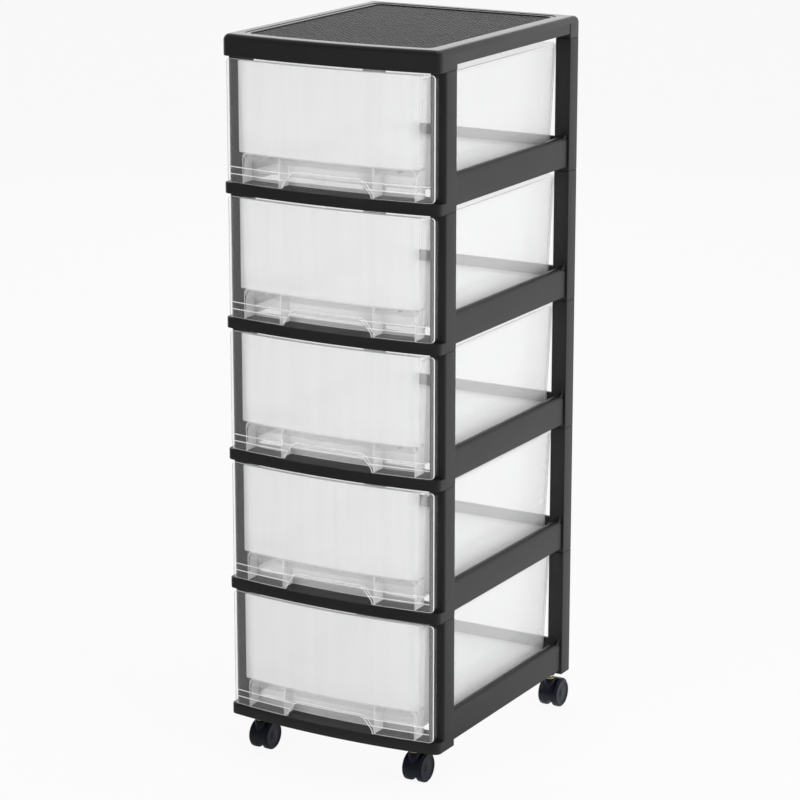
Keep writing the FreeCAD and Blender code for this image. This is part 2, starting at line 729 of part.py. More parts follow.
drawer_shape = make_drawer_shape()
for tier in range(TIERS):
    copy_of(f"drawer_{tier + 1}", drawer_shape, z=size.base_clearance + size.tier_pitch * tier)

stem_form = make_stem()
hood_form = make_hood()
wheels_form = make_wheels()
for corner, (stem_x, stem_y) in caster_places.items():
    axle_y = stem_y + size.caster_trail
    copy_of("caster_stem_" + corner, stem_form, stem_x, stem_y, size.base_clearance)
    copy_of("caster_hood_" + corner, hood_form, stem_x, axle_y, size.wheel_radius)
    copy_of("caster_wheels_" + corner, wheels_form, stem_x, axle_y, size.wheel_radius)

document.recompute()

# Every object has to be sound before anything is written.
for item in document.Objects:
    if "Invalid" in item.State or "Error" in item.State:
        raise RuntimeError(f"{item.Label} failed: {item.State}")
for name, item in nodes.items():
    shape = item.Shape
    if shape.isNull() or not shape.isValid() or len(shape.Solids) != 1:
        raise RuntimeError(f"{name} is not one sound solid: {len(shape.Solids)}")

os.makedirs("parts", exist_ok=True)
for name, item in nodes.items():
    item.Shape.exportStep(os.path.join("parts", name + ".step"))
    print(name, round(item.Shape.Volume), item.Shape.BoundBox)
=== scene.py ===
"""Visual model of a plastic drawer tower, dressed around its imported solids."""

import functools
import math

import bmesh
import bpy
from mathutils import Euler, Matrix, Vector


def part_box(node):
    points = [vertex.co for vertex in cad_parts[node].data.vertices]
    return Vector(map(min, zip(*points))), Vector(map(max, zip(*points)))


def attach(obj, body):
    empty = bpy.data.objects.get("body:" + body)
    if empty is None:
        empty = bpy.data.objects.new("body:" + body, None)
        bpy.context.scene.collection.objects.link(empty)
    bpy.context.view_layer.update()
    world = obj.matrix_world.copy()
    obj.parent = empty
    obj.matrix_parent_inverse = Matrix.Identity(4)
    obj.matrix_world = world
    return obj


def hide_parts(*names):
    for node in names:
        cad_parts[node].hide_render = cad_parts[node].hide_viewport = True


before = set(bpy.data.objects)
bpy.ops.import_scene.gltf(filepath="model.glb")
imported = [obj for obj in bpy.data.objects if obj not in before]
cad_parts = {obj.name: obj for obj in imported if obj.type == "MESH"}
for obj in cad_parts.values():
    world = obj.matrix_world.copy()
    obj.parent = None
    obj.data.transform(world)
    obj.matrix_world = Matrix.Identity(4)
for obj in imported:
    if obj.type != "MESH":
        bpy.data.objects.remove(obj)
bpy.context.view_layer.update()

bl_info = {
    "name": "Drawer tower",
    "version": (1, 0, 0),
    "blender": (4, 5, 0),
    "location": "View3D > Sidebar > Drawer tower",
    "description": "Builds a stacking drawer tower with its frames, cover, clear drawers and casters",
    "category": "Add Mesh",
}

MM = 0.001
TIERS = 5
BOW_STEPS = 32
ROUND_STEPS = 5
BORE_STEPS, NECK_STEPS, LATHE_STEPS, WHEEL_STEPS = 32, 40, 48, 64
SOFT = 0.5 * MM
SLACK = 0.05 * MM
STEM_ROOM = 12.4 * MM
RIB_SLIM, RIB_DEEP = 0.9 * MM, 8 * MM
LONG_RIBS = (-80 * MM, 0, 80 * MM)
CROSS_RIBS = (-90 * MM, 0, 90 * MM)
NOTCH_WALL = 1.4 * MM
BIN, FRONT, HIGHLIGHT_EDGES, PULL, GUSSETS, FLOOR, FOLDS = range(7)
PICTURE_SIDE = 800
SENSOR = 36.0
DARK_SIDE = 0.07
LIGHTS = (
    ("key", (3.0, -0.6, 1.1), 2.0, 62.0, False),
    ("front_fill", (-1.0, -3.6, 1.6), 2.6, 76.0, False),
    ("rear", (-1.7, 3.0, 2.0), 1.8, 14.0, True),
    ("top", (0.2, 0.8, 3.4), 1.8, 14.0, True),
)

cover_low, cover_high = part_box("top_cover")
first_low, first_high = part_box("tier_frame_1")
second_low, second_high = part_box("tier_frame_2")
WIDTH_MM = (cover_high.x - cover_low.x) / MM
DEPTH_MM = (cover_high.y - cover_low.y) / MM
CLEARANCE_MM = first_low.z / MM
PITCH_MM = (second_high.z - first_high.z) / MM
HEIGHT_MM = cover_high.z / MM


# Settings
def length(label, millimetres, description):
    return bpy.props.FloatProperty(
        name=label, description=description, default=millimetres * MM, unit="LENGTH", precision=5)


def share(label, amount, description):
    return bpy.props.FloatProperty(
        name=label, description=description, default=amount, min=0.0, max=1.0, subtype="FACTOR")


def turn(label, radians, description):
    return bpy.props.FloatProperty(
        name=label, description=description, default=radians, unit="ROTATION")


def tone(label, colour, description):
    return bpy.props.FloatVectorProperty(
        name=label, description=description, default=colour, size=3, min=0.0, max=1.0,
        subtype="COLOR")


class TowerSizes(bpy.types.PropertyGroup):
    """Sizes that the frames share with the cover and the drawers."""

    width: length("Width", WIDTH_MM, "Width over the posts")
    depth: length("Depth", DEPTH_MM, "Depth over the bowed front")
    pitch: length("Tier pitch", PITCH_MM, "Height that one tier adds")
    clearance: length("Clearance", CLEARANCE_MM, "Floor to the lowest frame")
    bow: length("Bow", 11.5, "Middle of the front ahead of its ends")
    lip_height: length("Lip height", 13.6, "Height of the front lip")
    post_width: length("Post width", 20.5, "Post from side to side")
    front_post: length("Front post", 27, "Front post from front to back")
    rear_post: length("Rear post", 25, "Rear post from front to back")

    lip_reach = 13 * MM
    lip_wall = 2.6 * MM
    post_wall = 2.2 * MM
    post_round = 4.5 * MM
    lip_corner = 9 * MM
    lip_edge = 1.4 * MM
    post_inner_round = 1.2 * MM
    seam = 0.7 * MM
    plug_length = 12 * MM
    plug_gap = 0.3 * MM


class RailSizes(bpy.types.PropertyGroup):
    """Sizes of the rails between the posts."""

    side_top: length("Side top", 43.5, "Top of a side rail")
    back_top: length("Back top", 39, "Top of the back rail")
    runner_top: length("Runner top", 25, "Top of the drawer runners")

    lift = 6 * MM
    wall = 2.5 * MM
    runner_width = 31 * MM
    inset = 2.5 * MM
    flange = 6 * MM
    shoulder = 6 * MM
    edge = 0.5 * MM
    back_flange = 5 * MM
    gusset = 9 * MM


class CoverSizes(bpy.types.PropertyGroup):
    """Sizes of the cover and its woven panel."""

    height: length("Height", HEIGHT_MM - CLEARANCE_MM - PITCH_MM * TIERS, "Height of the cover")
    bull_nose: length("Bull nose", 8, "Rounding along the upper edge")
    border: length("Border", 24, "Border round the panel")
    recess: length("Recess", 3, "Depth of the panel")
    weave_pitch: length("Weave pitch", 4, "Pitch of the woven panel")
    weave_height: length("Weave height", 0.9, "Height of the panel's knuckles")

    wall = 2.5 * MM
    top = 5.5 * MM
    ledge = 18 * MM
    rear_corner = 4.5 * MM
    ledge_recess = 0.8 * MM
    panel_corner = 10 * MM
    relief = 0.5 * MM


class DrawerSizes(bpy.types.PropertyGroup):
    """Sizes of a clear drawer, from the bottom of the tier that holds it."""

    half: length("Half width", WIDTH_MM / 2 - 7, "Half width of the front")
    bottom: length("Bottom", 14.6, "Lower edge of the front")
    top: length("Top", 162.6, "Upper edge of the front")
    wall: length("Front wall", 2, "Wall of the front")
    bin_floor: length("Bin floor", 25.3, "Underside of the bin")
    bin_top: length("Bin top", 156.8, "Top of the bin")
    bin_half: length("Bin half width", 124.5, "Half width of the bin at its top")
    bin_back: length("Bin back", 356, "Back of the bin behind the bow")
    pull_back: length("Pull back", 22.6, "Back of the finger pull behind the bow")
    pull_top: length("Pull top", 52.3, "Top of the finger pull")
    pull_half: length("Pull half width", 118, "Half width of the finger pull")
    notch_mouth: length("Notch mouth", 61, "Half width of the notch below")
    notch_crest: length("Notch crest", 48, "Half width of the notch above")
    notch_height: length("Notch height", 20, "Height of the notch")
    setback: length("Setback", 0.6, "Front behind the face of the lips")
    bin_wall: length("Bin wall", 2, "Walls and floor of the bin")
    gusset: length("Gusset", 64, "Gussets beside the notch, from the middle")
    line_low: length("Lower line", 10.5, "Lower raised line above the bottom")
    line_high: length("Upper line", 19, "Upper raised line above the bottom")

    corner = 5 * MM
    top_corner = 4 * MM
    edge = 0.6 * MM
    crown = 6.5 * MM
    side_fold = 9 * MM
    fold_wall = 1.6 * MM
    bin_taper = 5.5 * MM
    back_taper = 4 * MM
    bin_corner = 12 * MM
    bin_foot = 3.5 * MM
    rim = 1.5 * MM
    rim_height = 2.4 * MM
    pull_low = 15.7 * MM
    pull_roll = 16 * MM
    pull_wall = 1.8 * MM
    gusset_wall = 1.6 * MM
    short_rib = 92 * MM
    short_rib_drop = 7 * MM
    notch_round = 12 * MM
    notch_lip = 5 * MM
    line_height = 1.2 * MM
    line_end = 5 * MM


class CasterSizes(bpy.types.PropertyGroup):
    """Sizes of a twin-wheel caster."""

    wheel_radius: length("Wheel radius", 18, "Radius of the wheels")
    wheel_gap: length("Wheel gap", 0.5, "Running gap round a wheel")
    web: length("Web", 8, "Hood between its wheels")
    wheel_width: length("Wheel width", 9, "Width of a wheel")
    hood_wall: length("Hood wall", 1.3, "Hood over the wheels")
    hood_half: length("Hood half width", 11.5, "Half width of the hood")
    hood_drop: length("Hood drop", 6.3, "Hood's lower edge below the axle")
    hood_round: length("Hood rounding", 1.2, "Rounding of the hood's sides")
    neck_radius: length("Neck radius", 6.9, "Radius of the neck")
    neck_rise: length("Neck rise", 21.5, "Top of the neck above the axle")
    trail: length("Trail", 10, "Axle behind the stem")
    axle_radius: length("Axle radius", 2, "Radius of the axle")
    stem_radius: length("Stem radius", 3.5, "Radius of the stem")
    collar_radius: length("Collar radius", 5.4, "Radius of the stem's collar")
    collar_height: length("Collar height", 1.6, "Height of the stem's collar")
    dish: length("Dish", 1.1, "Dish in a wheel's outer face")


class FinishSettings(bpy.types.PropertyGroup):
    """Colours and finishes."""

    frame_colour: tone("Frame", (0.015, 0.015, 0.016), "Anthracite plastic of the frames")
    cover_colour: tone("Cover", (0.016, 0.016, 0.0165), "Satin black plastic of the cover")
    clear_colour: tone("Clear plastic", (0.92, 0.922, 0.926), "Haze of the clear plastic")
    caster_colour: tone("Caster", (0.005, 0.006, 0.009), "Black nylon of the casters")
    brass_colour: tone("Stem", (0.72, 0.58, 0.34), "Plated metal of the stems")
    frame_roughness: share("Frame roughness", 0.46, "Roughness of the frames")
    cover_roughness: share("Cover roughness", 0.35, "Roughness of the cover")
    pull_cover: share("Pull cover", 0.16, "Opacity of the finger pull")
    gusset_cover: share("Gusset cover", 0.45, "Opacity of a gusset")
    clear_cover: share("Clear cover", 0.045, "Opacity of a clear wall")
    line_cover: share("Line cover", 0.34, "Opacity where inner walls meet the front")
    bin_cover: share("Bin cover", 0.15, "Opacity of the bin")
    floor_cover: share("Floor cover", 0.46, "Opacity of the bin's floor")
    fold_cover: share("Fold cover", 0.02, "Opacity of the side folds")
    frost_cover: share("Frosted cover", 0.80, "Opacity of the frosted front")
    edge_cover: share("Edge cover", 0.75, "Opacity of the bright edges")


class StageSettings(bpy.types.PropertyGroup):
    """Camera, light and floor."""

    focal: bpy.props.FloatProperty(
        name="Focal length", description="Focal length in picture widths",
        default=3028.1 / PICTURE_SIDE)
    camera_place: bpy.props.FloatVectorProperty(
        name="Camera place", description="Where the camera stands", size=3,
        default=(1.8038, -3.1520, 1.3950), unit="LENGTH", subtype="TRANSLATION")
    camera_yaw: turn("Camera yaw", 0.5204, "Camera turned to the left")
    camera_pitch: turn("Camera pitch", 0.2599, "Camera tipped down")
    floor_size: length("Floor", 30000, "Side of the square floor")
    floor_colour: tone("Floor", (0.86, 0.86, 0.86), "Pale floor")


# Outlines
def spread(low, high, steps):
    return [low + (high - low) * number / steps for number in range(steps + 1)]


def quarter(radius, steps):
    """A quarter circle as (inwards, upwards), from upright at (0, 0) to level."""
    return [(radius * (1 - math.cos(angle)), radius * math.sin(angle))
            for angle in spread(0, math.pi / 2, steps)]


def rectangle(left, right, low, high):
    return [(left, low), (right, low), (right, high), (left, high)]


def rounded_ring(corners, radii, steps=ROUND_STEPS):
    """A closed outline whose corners are replaced by arcs. radii is one radius for every
    corner, or a dictionary of corner number to radius, in which the others stay sharp."""
    ring = []
    for number, corner in enumerate(corners):
        radius = radii.get(number) if isinstance(radii, dict) else radii
        if not radius:
            ring.append(tuple(corner))
            continue
        here = Vector(corner)
        before = (Vector(corners[number - 1]) - here).normalized()
        after = (Vector(corners[(number + 1) % len(corners)]) - here).normalized()
        half_angle = before.angle(after) / 2
        middle = here + (before + after).normalized() * (radius / math.sin(half_angle))
        first = here + before * (radius / math.tan(half_angle)) - middle
        sign = 1 if before.x * after.y - before.y * after.x < 0 else -1
        for angle in spread(0, sign * (math.pi - half_angle * 2), steps):
            ring.append((middle.x + first.x * math.cos(angle) - first.y * math.sin(angle),
                         middle.y + first.x * math.sin(angle) + first.y * math.cos(angle)))
    return ring


def lift_ring(ring, level):
    return [(x, y, level) for x, y in ring]


# Meshes
def link_object(name, mesh):
    item = bpy.data.objects.new(name, mesh)
    bpy.context.scene.collection.objects.link(item)
    return item


def new_object(name, bm):
    mesh = bpy.data.meshes.new(name)
    bm.to_mesh(mesh)
    bm.free()
    return link_object(name, mesh)


def shell(name, rings):
    """A closed solid lofted through rings of equally many points, capped at both ends."""
    bm = bmesh.new()
    rows = [[bm.verts.new(point) for point in ring] for ring in rings]
    for low, high in zip(rows, rows[1:]):
        for number in range(len(low)):
            following = (number + 1) % len(low)
            bm.faces.new((low[number], low[following], high[following], high[number]))
    bm.faces.new(list(reversed(rows[0])))
    bm.faces.new(rows[-1])
    bmesh.ops.recalc_face_normals(bm, faces=bm.faces)
    return new_object(name, bm)


def prism(name, outline, axis, low, high):
    """An outline extruded along an axis: (x, y) along Z, (x, z) along Y, (y, z) along X."""
    place = {
        "Z": lambda a, b, c: (a, b, c),
        "Y": lambda a, b, c: (a, c, b),
        "X": lambda a, b, c: (c, a, b),
    }[axis]
    return shell(name, [[place(a, b, level) for a, b in outline] for level in (low, high)])


def lathe(name, profile, axis="X", centre=(0, 0, 0), steps=LATHE_STEPS):
    """A profile of (along, radius) turned round an axis. Its two ends lie on the axis."""
    bm = bmesh.new()
    rows = []
    for along, radius in profile:
        row = []
        for step in range(steps if radius > 0 else 1):
            angle = math.tau * step / steps
            a, b = radius * math.cos(angle), radius * math.sin(angle)
            point = Vector((along, a, b) if axis == "X" else (a, b, along)) + Vector(centre)
            row.append(bm.verts.new(point))
        rows.append(row)
    for low, high in zip(rows, rows[1:]):
        for step in range(steps):
            following = (step + 1) % steps
            if len(low) == 1:
                bm.faces.new((low[0], high[following], high[step]))
            elif len(high) == 1:
                bm.faces.new((low[step], low[following], high[0]))
            else:
                bm.faces.new((low[step], low[following], high[following], high[step]))
    bmesh.ops.recalc_face_normals(bm, faces=bm.faces)
    return new_object(name, bm)


def rod(name, radius, low, high, axis="X", centre=(0, 0, 0), steps=LATHE_STEPS):
    return lathe(name, [(low, 0), (low, radius), (high, radius), (high, 0)], axis, centre, steps)


def settle(item):
    """Turns an object with its modifiers into a plain mesh."""
    graph = bpy.context.evaluated_depsgraph_get()
    mesh = bpy.data.meshes.new_from_object(item.evaluated_get(graph))
    item.modifiers.clear()
    old = item.data
    item.data = mesh
    bpy.data.meshes.remove(old)
    return item


def discard(item):
    old = item.data
    bpy.data.objects.remove(item)
    bpy.data.meshes.remove(old)


def combine(item, tools, operation):
    for tool in tools:
        modifier = item.modifiers.new("combine", "BOOLEAN")
        modifier.operation = operation
        modifier.solver = "MANIFOLD"
        modifier.object = tool
        settle(item)
        if not item.data.polygons:
            raise RuntimeError(f"{item.name} and {tool.name} can't be combined")
        discard(tool)
    return item


def add(item, *tools):
    return combine(item, tools, "UNION")


def take(item, *tools):
    return combine(item, tools, "DIFFERENCE")


def pair(item):
    """A piece and its mirrored copy on the other side of the tower."""
    bm = bmesh.new()
    bm.from_mesh(item.data)
    for vertex in bm.verts:
        vertex.co.x = -vertex.co.x
    bmesh.ops.reverse_faces(bm, faces=bm.faces)
    bm.normal_update()
    return [item, new_object(item.name + "_twin", bm)]


def paint(item, *materials):
    item.data.materials.clear()
    for material in materials:
        item.data.materials.append(material)


def dress(item, body, degrees=30):
    """Smooths a finished piece and puts it on its body."""
    item.data.polygons.foreach_set("use_smooth", [True] * len(item.data.polygons))
    item.data.set_sharp_from_angle(angle=math.radians(degrees))
    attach(item, body)


def lay_out(master, name, body, stood_for, places):
    """Copies a master to each place. {} in a name stands for the place's own."""
    for place, offset in places.items():
        mesh = master.data.copy()
        mesh.transform(Matrix.Translation(offset))
        piece = link_object(name.format(place), mesh)
        dress(piece, body.format(place))
        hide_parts(stood_for.format(place))


# Plan of the tower
def bow_radius(tower):
    return ((tower.width / 2) ** 2 + tower.bow ** 2) / (2 * tower.bow)


def sag(tower, across):
    """How far the bowed front falls back at a distance from the middle."""
    radius = bow_radius(tower)
    return radius - math.sqrt(radius ** 2 - across ** 2)


def bow_at(tower, across, inset):
    radius = bow_radius(tower)
    return radius - tower.depth / 2 - math.sqrt((radius - inset) ** 2 - across ** 2)


def nose_plan(tower, inset, back, front_corner, back_corner):
    """The bowed plan drawn in by inset, down to the Y of back."""
    half = tower.width / 2 - inset
    front_corner, back_corner = max(front_corner, SLACK), max(back_corner, SLACK)
    inner = half - max(front_corner, MM)
    places = [-half] + spread(-inner, inner, BOW_STEPS - 2) + [half]
    corners = [(across, bow_at(tower, across, inset)) for across in places]
    corners += [(half, back), (-half, back)]
    return rounded_ring(corners, {0: front_corner, BOW_STEPS: front_corner,
                                  BOW_STEPS + 1: back_corner, BOW_STEPS + 2: back_corner})


def post_places(tower):
    """Name, low Y and high Y of the posts."""
    front = tower.bow + tower.lip_reach - tower.depth / 2
    back = tower.depth / 2
    return (("front", front, front + tower.front_post), ("rear", back - tower.rear_post, back))


def post_ring(tower, place, inset):
    """Plan of the right-hand post at a place, drawn in by inset."""
    end, low, high = place
    inner, outer = tower.width / 2 - tower.post_width + inset, tower.width / 2 - inset
    large = max(tower.post_round - inset, 0.3 * MM)
    small = max(tower.post_inner_round - inset, 0.2 * MM)
    radii = {0: small, 1: small, 2: small, 3: small}
    radii[1 if end == "front" else 2] = large
    return rounded_ring(rectangle(inner, outer, low + inset, high - inset), radii)


def post_shells(tower, name, steps):
    """All four posts, or what follows their plan, lofted through (inset, level)."""
    made = []
    for place in post_places(tower):
        rings = [lift_ring(post_ring(tower, place, inset), level) for inset, level in steps]
        made += pair(shell(name, rings))
    return made


# Frames
def make_posts(tower):
    wall, top, seam = tower.post_wall, tower.pitch, tower.seam
    return post_shells(tower, "post", [(wall, wall), (wall, top), (seam, top), (0, top - seam),
                                       (0, seam), (seam, 0)])


def make_plugs(tower):
    wall, reach = tower.post_wall, tower.plug_length
    snug = wall + tower.plug_gap
    return post_shells(tower, "plug", [
        (snug + wall, -wall / 2), (snug + wall, -reach), (snug + SOFT, -reach),
        (snug, SOFT - reach), (snug, wall / 2)])


def make_lip(tower):
    wall, high, edge = tower.lip_wall, tower.lip_height, tower.lip_edge
    back = post_places(tower)[0][2]
    steps = [(wall, high - wall), (wall, SOFT), (wall - SOFT, 0), (SOFT * 1.6, 0),
             (SOFT * 0.45, SOFT * 0.45), (0, SOFT * 1.6)]
    steps += [(inwards, high - edge + up) for inwards, up in quarter(edge, 4)]
    return shell("lip", [
        lift_ring(nose_plan(tower, inset, back - inset, tower.lip_corner - inset, MM), level)
        for inset, level in steps])


def make_side_rail(tower, rail):
    (_, _, low), (_, high, _) = post_places(tower)
    overlap, soft, wall, top = tower.post_wall / 2, rail.edge, rail.wall, rail.side_top
    outer = tower.width / 2 - rail.inset
    inner = outer - wall
    runner, flange = inner - rail.runner_width, inner - rail.flange
    corners = [(outer, rail.lift), (outer, top), (flange, top), (flange, top - wall),
               (inner, top - wall), (inner, rail.runner_top), (runner, rail.runner_top),
               (runner, rail.runner_top - wall), (inner, rail.runner_top - wall),
               (inner, rail.lift)]
    radii = {0: soft, 1: rail.shoulder, 2: soft, 3: soft, 6: soft, 7: soft, 9: soft}
    side = prism("side_rail", rounded_ring(corners, radii, 4), "Y", low - overlap, high + overlap)
    start = high - rail.gusset
    corners = [(start, top - wall / 2)]
    corners += [(start + up, top + inwards) for inwards, up in quarter(rail.gusset, 6)]
    corners += [(high + overlap, top + rail.gusset), (high + overlap, top - wall / 2)]
    gusset = prism("rail_gusset", corners, "X", inner, outer - soft)
    return pair(side) + pair(gusset)


def make_back_rail(tower, rail):
    soft, top = rail.edge, rail.back_top
    back = tower.depth / 2 - soft
    face = tower.depth / 2 - rail.back_flange
    across = tower.width / 2 - tower.post_width + tower.post_wall / 2
    corners = [(face, rail.lift), (face + rail.wall, rail.lift), (face + rail.wall, top - rail.wall),
               (back, top - rail.wall), (back, top), (face, top)]
    outline = rounded_ring(corners, {0: soft, 1: soft, 3: soft, 4: soft, 5: soft}, 3)
    return prism("back_rail", outline, "X", -across, across)


def tier_places(tower, numbers):
    return {number: Vector((0, 0, tower.clearance + tower.pitch * (number - 1)))
            for number in numbers}


def stem_places():
    places = {}
    for corner in ("front_left", "front_right", "rear_left", "rear_right"):
        low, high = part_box("caster_stem_" + corner)
        places[corner] = Vector(((low.x + high.x) / 2, (low.y + high.y) / 2, 0))
    return places


def make_tier(tower, rail, caster, lowest):
    tier = add(make_lip(tower), *make_posts(tower), *make_side_rail(tower, rail),
               make_back_rail(tower, rail))
    if not lowest:
        return add(tier, *make_plugs(tower))
    bores = []
    wide, chamfer = caster.stem_radius + 3 * MM, 0.4 * MM
    for corner, centre in stem_places().items():
        shelf = tower.lip_height if corner.startswith("front") else rail.runner_top
        ceiling = shelf - tower.lip_wall / 2
        socket = [(0, 0), (0, wide - chamfer), (chamfer, wide), (ceiling, wide), (ceiling, 0)]
        tier = add(tier, lathe("socket", socket, "Z", centre, BORE_STEPS))
        bores.append(rod("bore", caster.stem_radius + SLACK, -MM, STEM_ROOM, "Z", centre, BORE_STEPS))
    return take(tier, *bores)


# Cover
def cover_rings(tower, cover, ceiling):
    """Rings from under the top, down the skirt, over the bull nose and into the panel."""
    high, back, nose = cover.height, tower.depth / 2, cover.bull_nose
    ledge, border, least = cover.ledge, cover.border, 0.8 * MM
    floor, panel = high - cover.ledge_recess, high - cover.recess
    steps = [(cover.wall, ceiling), (cover.wall, SOFT), (cover.wall - SOFT, 0), (SOFT, 0), (0, SOFT)]
    steps += [(inwards, high - nose + up) for inwards, up in quarter(nose, 8)]
    steps += [(ledge - SOFT, high), (ledge - SOFT * 0.3, high - SOFT * 0.3), (ledge, floor),
              (border - SOFT, floor), (border - SOFT * 0.3, floor - SOFT * 0.3),
              (border, floor - SOFT), (border, panel)]
    rings = []
    for inset, level in steps:
        if inset >= ledge - SOFT:
            front = rear = cover.panel_corner + border - inset
        else:
            front = max(tower.lip_corner - inset, least)
            rear = max(cover.rear_corner - inset, least)
        rings.append(lift_ring(nose_plan(tower, inset, back - inset, front, rear), level))
    return rings


def make_cover(tower, rail, cover):
    ceiling = cover.height - cover.top
    body = shell("top_cover", cover_rings(tower, cover, ceiling))
    inset = cover.wall * 0.6
    body = add(body, *post_shells(tower, "corner_block", [(inset, 0), (inset, ceiling + MM)]))
    (_, _, low), (_, high, _) = post_places(tower)
    half, back, reach = tower.width / 2, tower.depth / 2, 3 * MM
    inner = half - tower.post_width
    sides = pair(prism("side_relief", rectangle(low, high, -reach, rail.lift), "X",
                       half - reach * 2, half + reach))
    steps = pair(prism("side_step", rectangle(low, high, -reach, cover.height - cover.bull_nose),
                       "X", half - cover.relief, half + reach))
    rear = prism("rear_relief", rectangle(-inner, inner, -reach, rail.lift), "Y",
                 back - reach * 2, back + reach)
    body = take(body, *sides, rear, *steps)

    def rib(name, along, axis, start, finish):
        outline = rectangle(along - RIB_SLIM, along + RIB_SLIM, ceiling - RIB_DEEP, ceiling + MM)
        return prism(name, outline, axis, start, finish)

    ribs = [rib("long_rib", along, "Y", bow_at(tower, along, MM), back - MM) for along in LONG_RIBS]
    ribs += [rib("cross_rib", along, "X", MM - half, half - MM) for along in CROSS_RIBS]
    return add(body, *ribs, *make_plugs(tower))


def weave_tree():
    """Geometry Nodes: knuckles laid over the panel, every other one turned across."""
    numbers = ("Pitch", "Half Width", "Back", "Bow Radius", "Bow Centre", "Level")
    tree, entry, leave = new_group("woven_panel", "GeometryNodeTree",
                                   ("Knuckle", *numbers, "Material"), ("Panel",))
    pitch, half, back, radius, centre, level = (entry[label] for label in numbers)
    count_x = maths("FLOOR", half / pitch) * 2.0 + 1.0
    count_y = maths("FLOOR", (back - (centre - radius)) / pitch) + 1.0
    size_y = (count_y - 1.0) * pitch
    grid = node(tree, "GeometryNodeMeshGrid", {
        "Size X": (count_x - 1.0) * pitch, "Size Y": size_y,
        "Vertices X": count_x, "Vertices Y": count_y})
    middle = back - size_y * 0.5
    shift = node(tree, "ShaderNodeCombineXYZ", {"Y": middle - pitch * 0.25, "Z": level})
    move = node(tree, "GeometryNodeTransform", {"Geometry": out(grid, "Mesh"),
                                                "Translation": out(shift)})
    x, y, _ = split(out(node(tree, "GeometryNodeInputPosition")))
    line = centre - maths("SQRT", radius * radius - x * x)
    drop = node(tree, "GeometryNodeDeleteGeometry", {"Geometry": out(move, "Geometry"),
                                                     "Selection": maths("LESS_THAN", y, line)})
    place = maths("ROUND", x / pitch) + maths("ROUND", (y - middle) / pitch)
    odd = maths("FLOORED_MODULO", place, 2.0)
    angles = node(tree, "ShaderNodeCombineXYZ", {"Z": odd * (math.pi / 2)})
    rotation = node(tree, "FunctionNodeEulerToRotation", {0: out(angles)})
    lay = node(tree, "GeometryNodeInstanceOnPoints", {
        "Points": out(drop, "Geometry"), "Instance": entry["Knuckle"], "Rotation": out(rotation)})
    real = node(tree, "GeometryNodeRealizeInstances", {"Geometry": out(lay, "Instances")})
    coat = node(tree, "GeometryNodeSetMaterial", {"Geometry": out(real, "Geometry"),
                                                  "Material": entry["Material"]})
    fill(leave, {"Panel": out(coat, "Geometry")})
    return tree


def make_weave(tower, cover, material):
    long, wide, high = cover.weave_pitch * 0.52, cover.weave_pitch * 0.30, cover.weave_height
    rings = []
    for a, b, level in ((long, wide, -0.15 * MM), (long * 0.92, wide * 0.92, high * 0.62),
                        (long * 0.55, wide * 0.62, high)):
        outline = [(a, -b * 0.6), (a, b * 0.6), (a * 0.55, b), (-a * 0.55, b), (-a, b * 0.6),
                   (-a, -b * 0.6), (-a * 0.55, -b), (a * 0.55, -b)]
        rings.append(lift_ring(outline, level))
    item = shell("panel_weave", rings)
    inset = cover.border + cover.weave_pitch * 0.62
    values = {
        "Pitch": cover.weave_pitch,
        "Half Width": tower.width / 2 - inset,
        "Back": tower.depth / 2 - inset + cover.weave_pitch * 0.25,
        "Bow Radius": bow_radius(tower) - inset,
        "Bow Centre": bow_radius(tower) - tower.depth / 2,
        "Level": tower.clearance + tower.pitch * TIERS + cover.height - cover.recess,
        "Material": material,
    }
    modifier = item.modifiers.new("weave", "NODES")
    modifier.node_group = weave_tree()
    for socket in modifier.node_group.interface.items_tree:
        if socket.name in values:
            modifier[socket.identifier] = values[socket.name]
    return settle(item)


# Drawers
# A drawer is built with a straight front, Y measured from the bow, and bent at the end.
def front_outline(drawer, inset):
    lower = max(drawer.corner - inset, 0.3 * MM)
    upper = max(drawer.top_corner - inset, 0.3 * MM)
    half = drawer.half - inset
    return rounded_ring(rectangle(-half, half, drawer.bottom + inset, drawer.top - inset),
                        {0: lower, 1: lower, 2: upper, 3: upper})


def make_front(drawer):
    edge, near, half, fold = drawer.edge, drawer.setback, drawer.half, drawer.fold_wall
    steps = [(inwards, near + edge - up) for inwards, up in reversed(quarter(edge, 3))]
    steps.append((0, near + drawer.wall))
    plate = shell("drawer_front", [[(x, y, z) for x, z in front_outline(drawer, inset)]
                                   for inset, y in steps])
    low, high = drawer.bottom + drawer.corner, drawer.top - drawer.top_corner
    sides = pair(prism("side_fold", rectangle(half - fold, half, near + MM, near + drawer.side_fold),
                       "Z", low, high))
    crown = prism("crown", rectangle(near + MM, near + drawer.crown, drawer.top - fold, drawer.top),
                  "X", drawer.top_corner - half, half - drawer.top_corner)
    plate = add(plate, *sides, crown)
    across, tall = half - drawer.line_end, drawer.line_height / 2
    for height in (drawer.line_low, drawer.line_high):
        level = drawer.bottom + height
        outline = rounded_ring(rectangle(-across, across, level - tall, level + tall), tall * 0.9)
        plate = add(plate, shell("raised_line", [
            [(x, near + MM / 2, z) for x, z in outline],
            [(x, near - 0.25 * MM, z) for x, z in outline],
            [(x * 0.999, 0.02 * MM, level + (z - level) * 0.45) for x, z in outline]]))
    return plate


def bin_ring(drawer, level, inset, front):
    share_down = 1 - (level - drawer.bin_floor) / (drawer.bin_top - drawer.bin_floor)
    half = drawer.bin_half - drawer.bin_taper * share_down - inset
    back = drawer.bin_back - drawer.back_taper * share_down - inset
    corner = max(drawer.bin_corner - inset, MM)
    ring = rounded_ring(rectangle(-half, half, front, back), {2: corner, 3: corner}, 8)
    return lift_ring(ring, level)


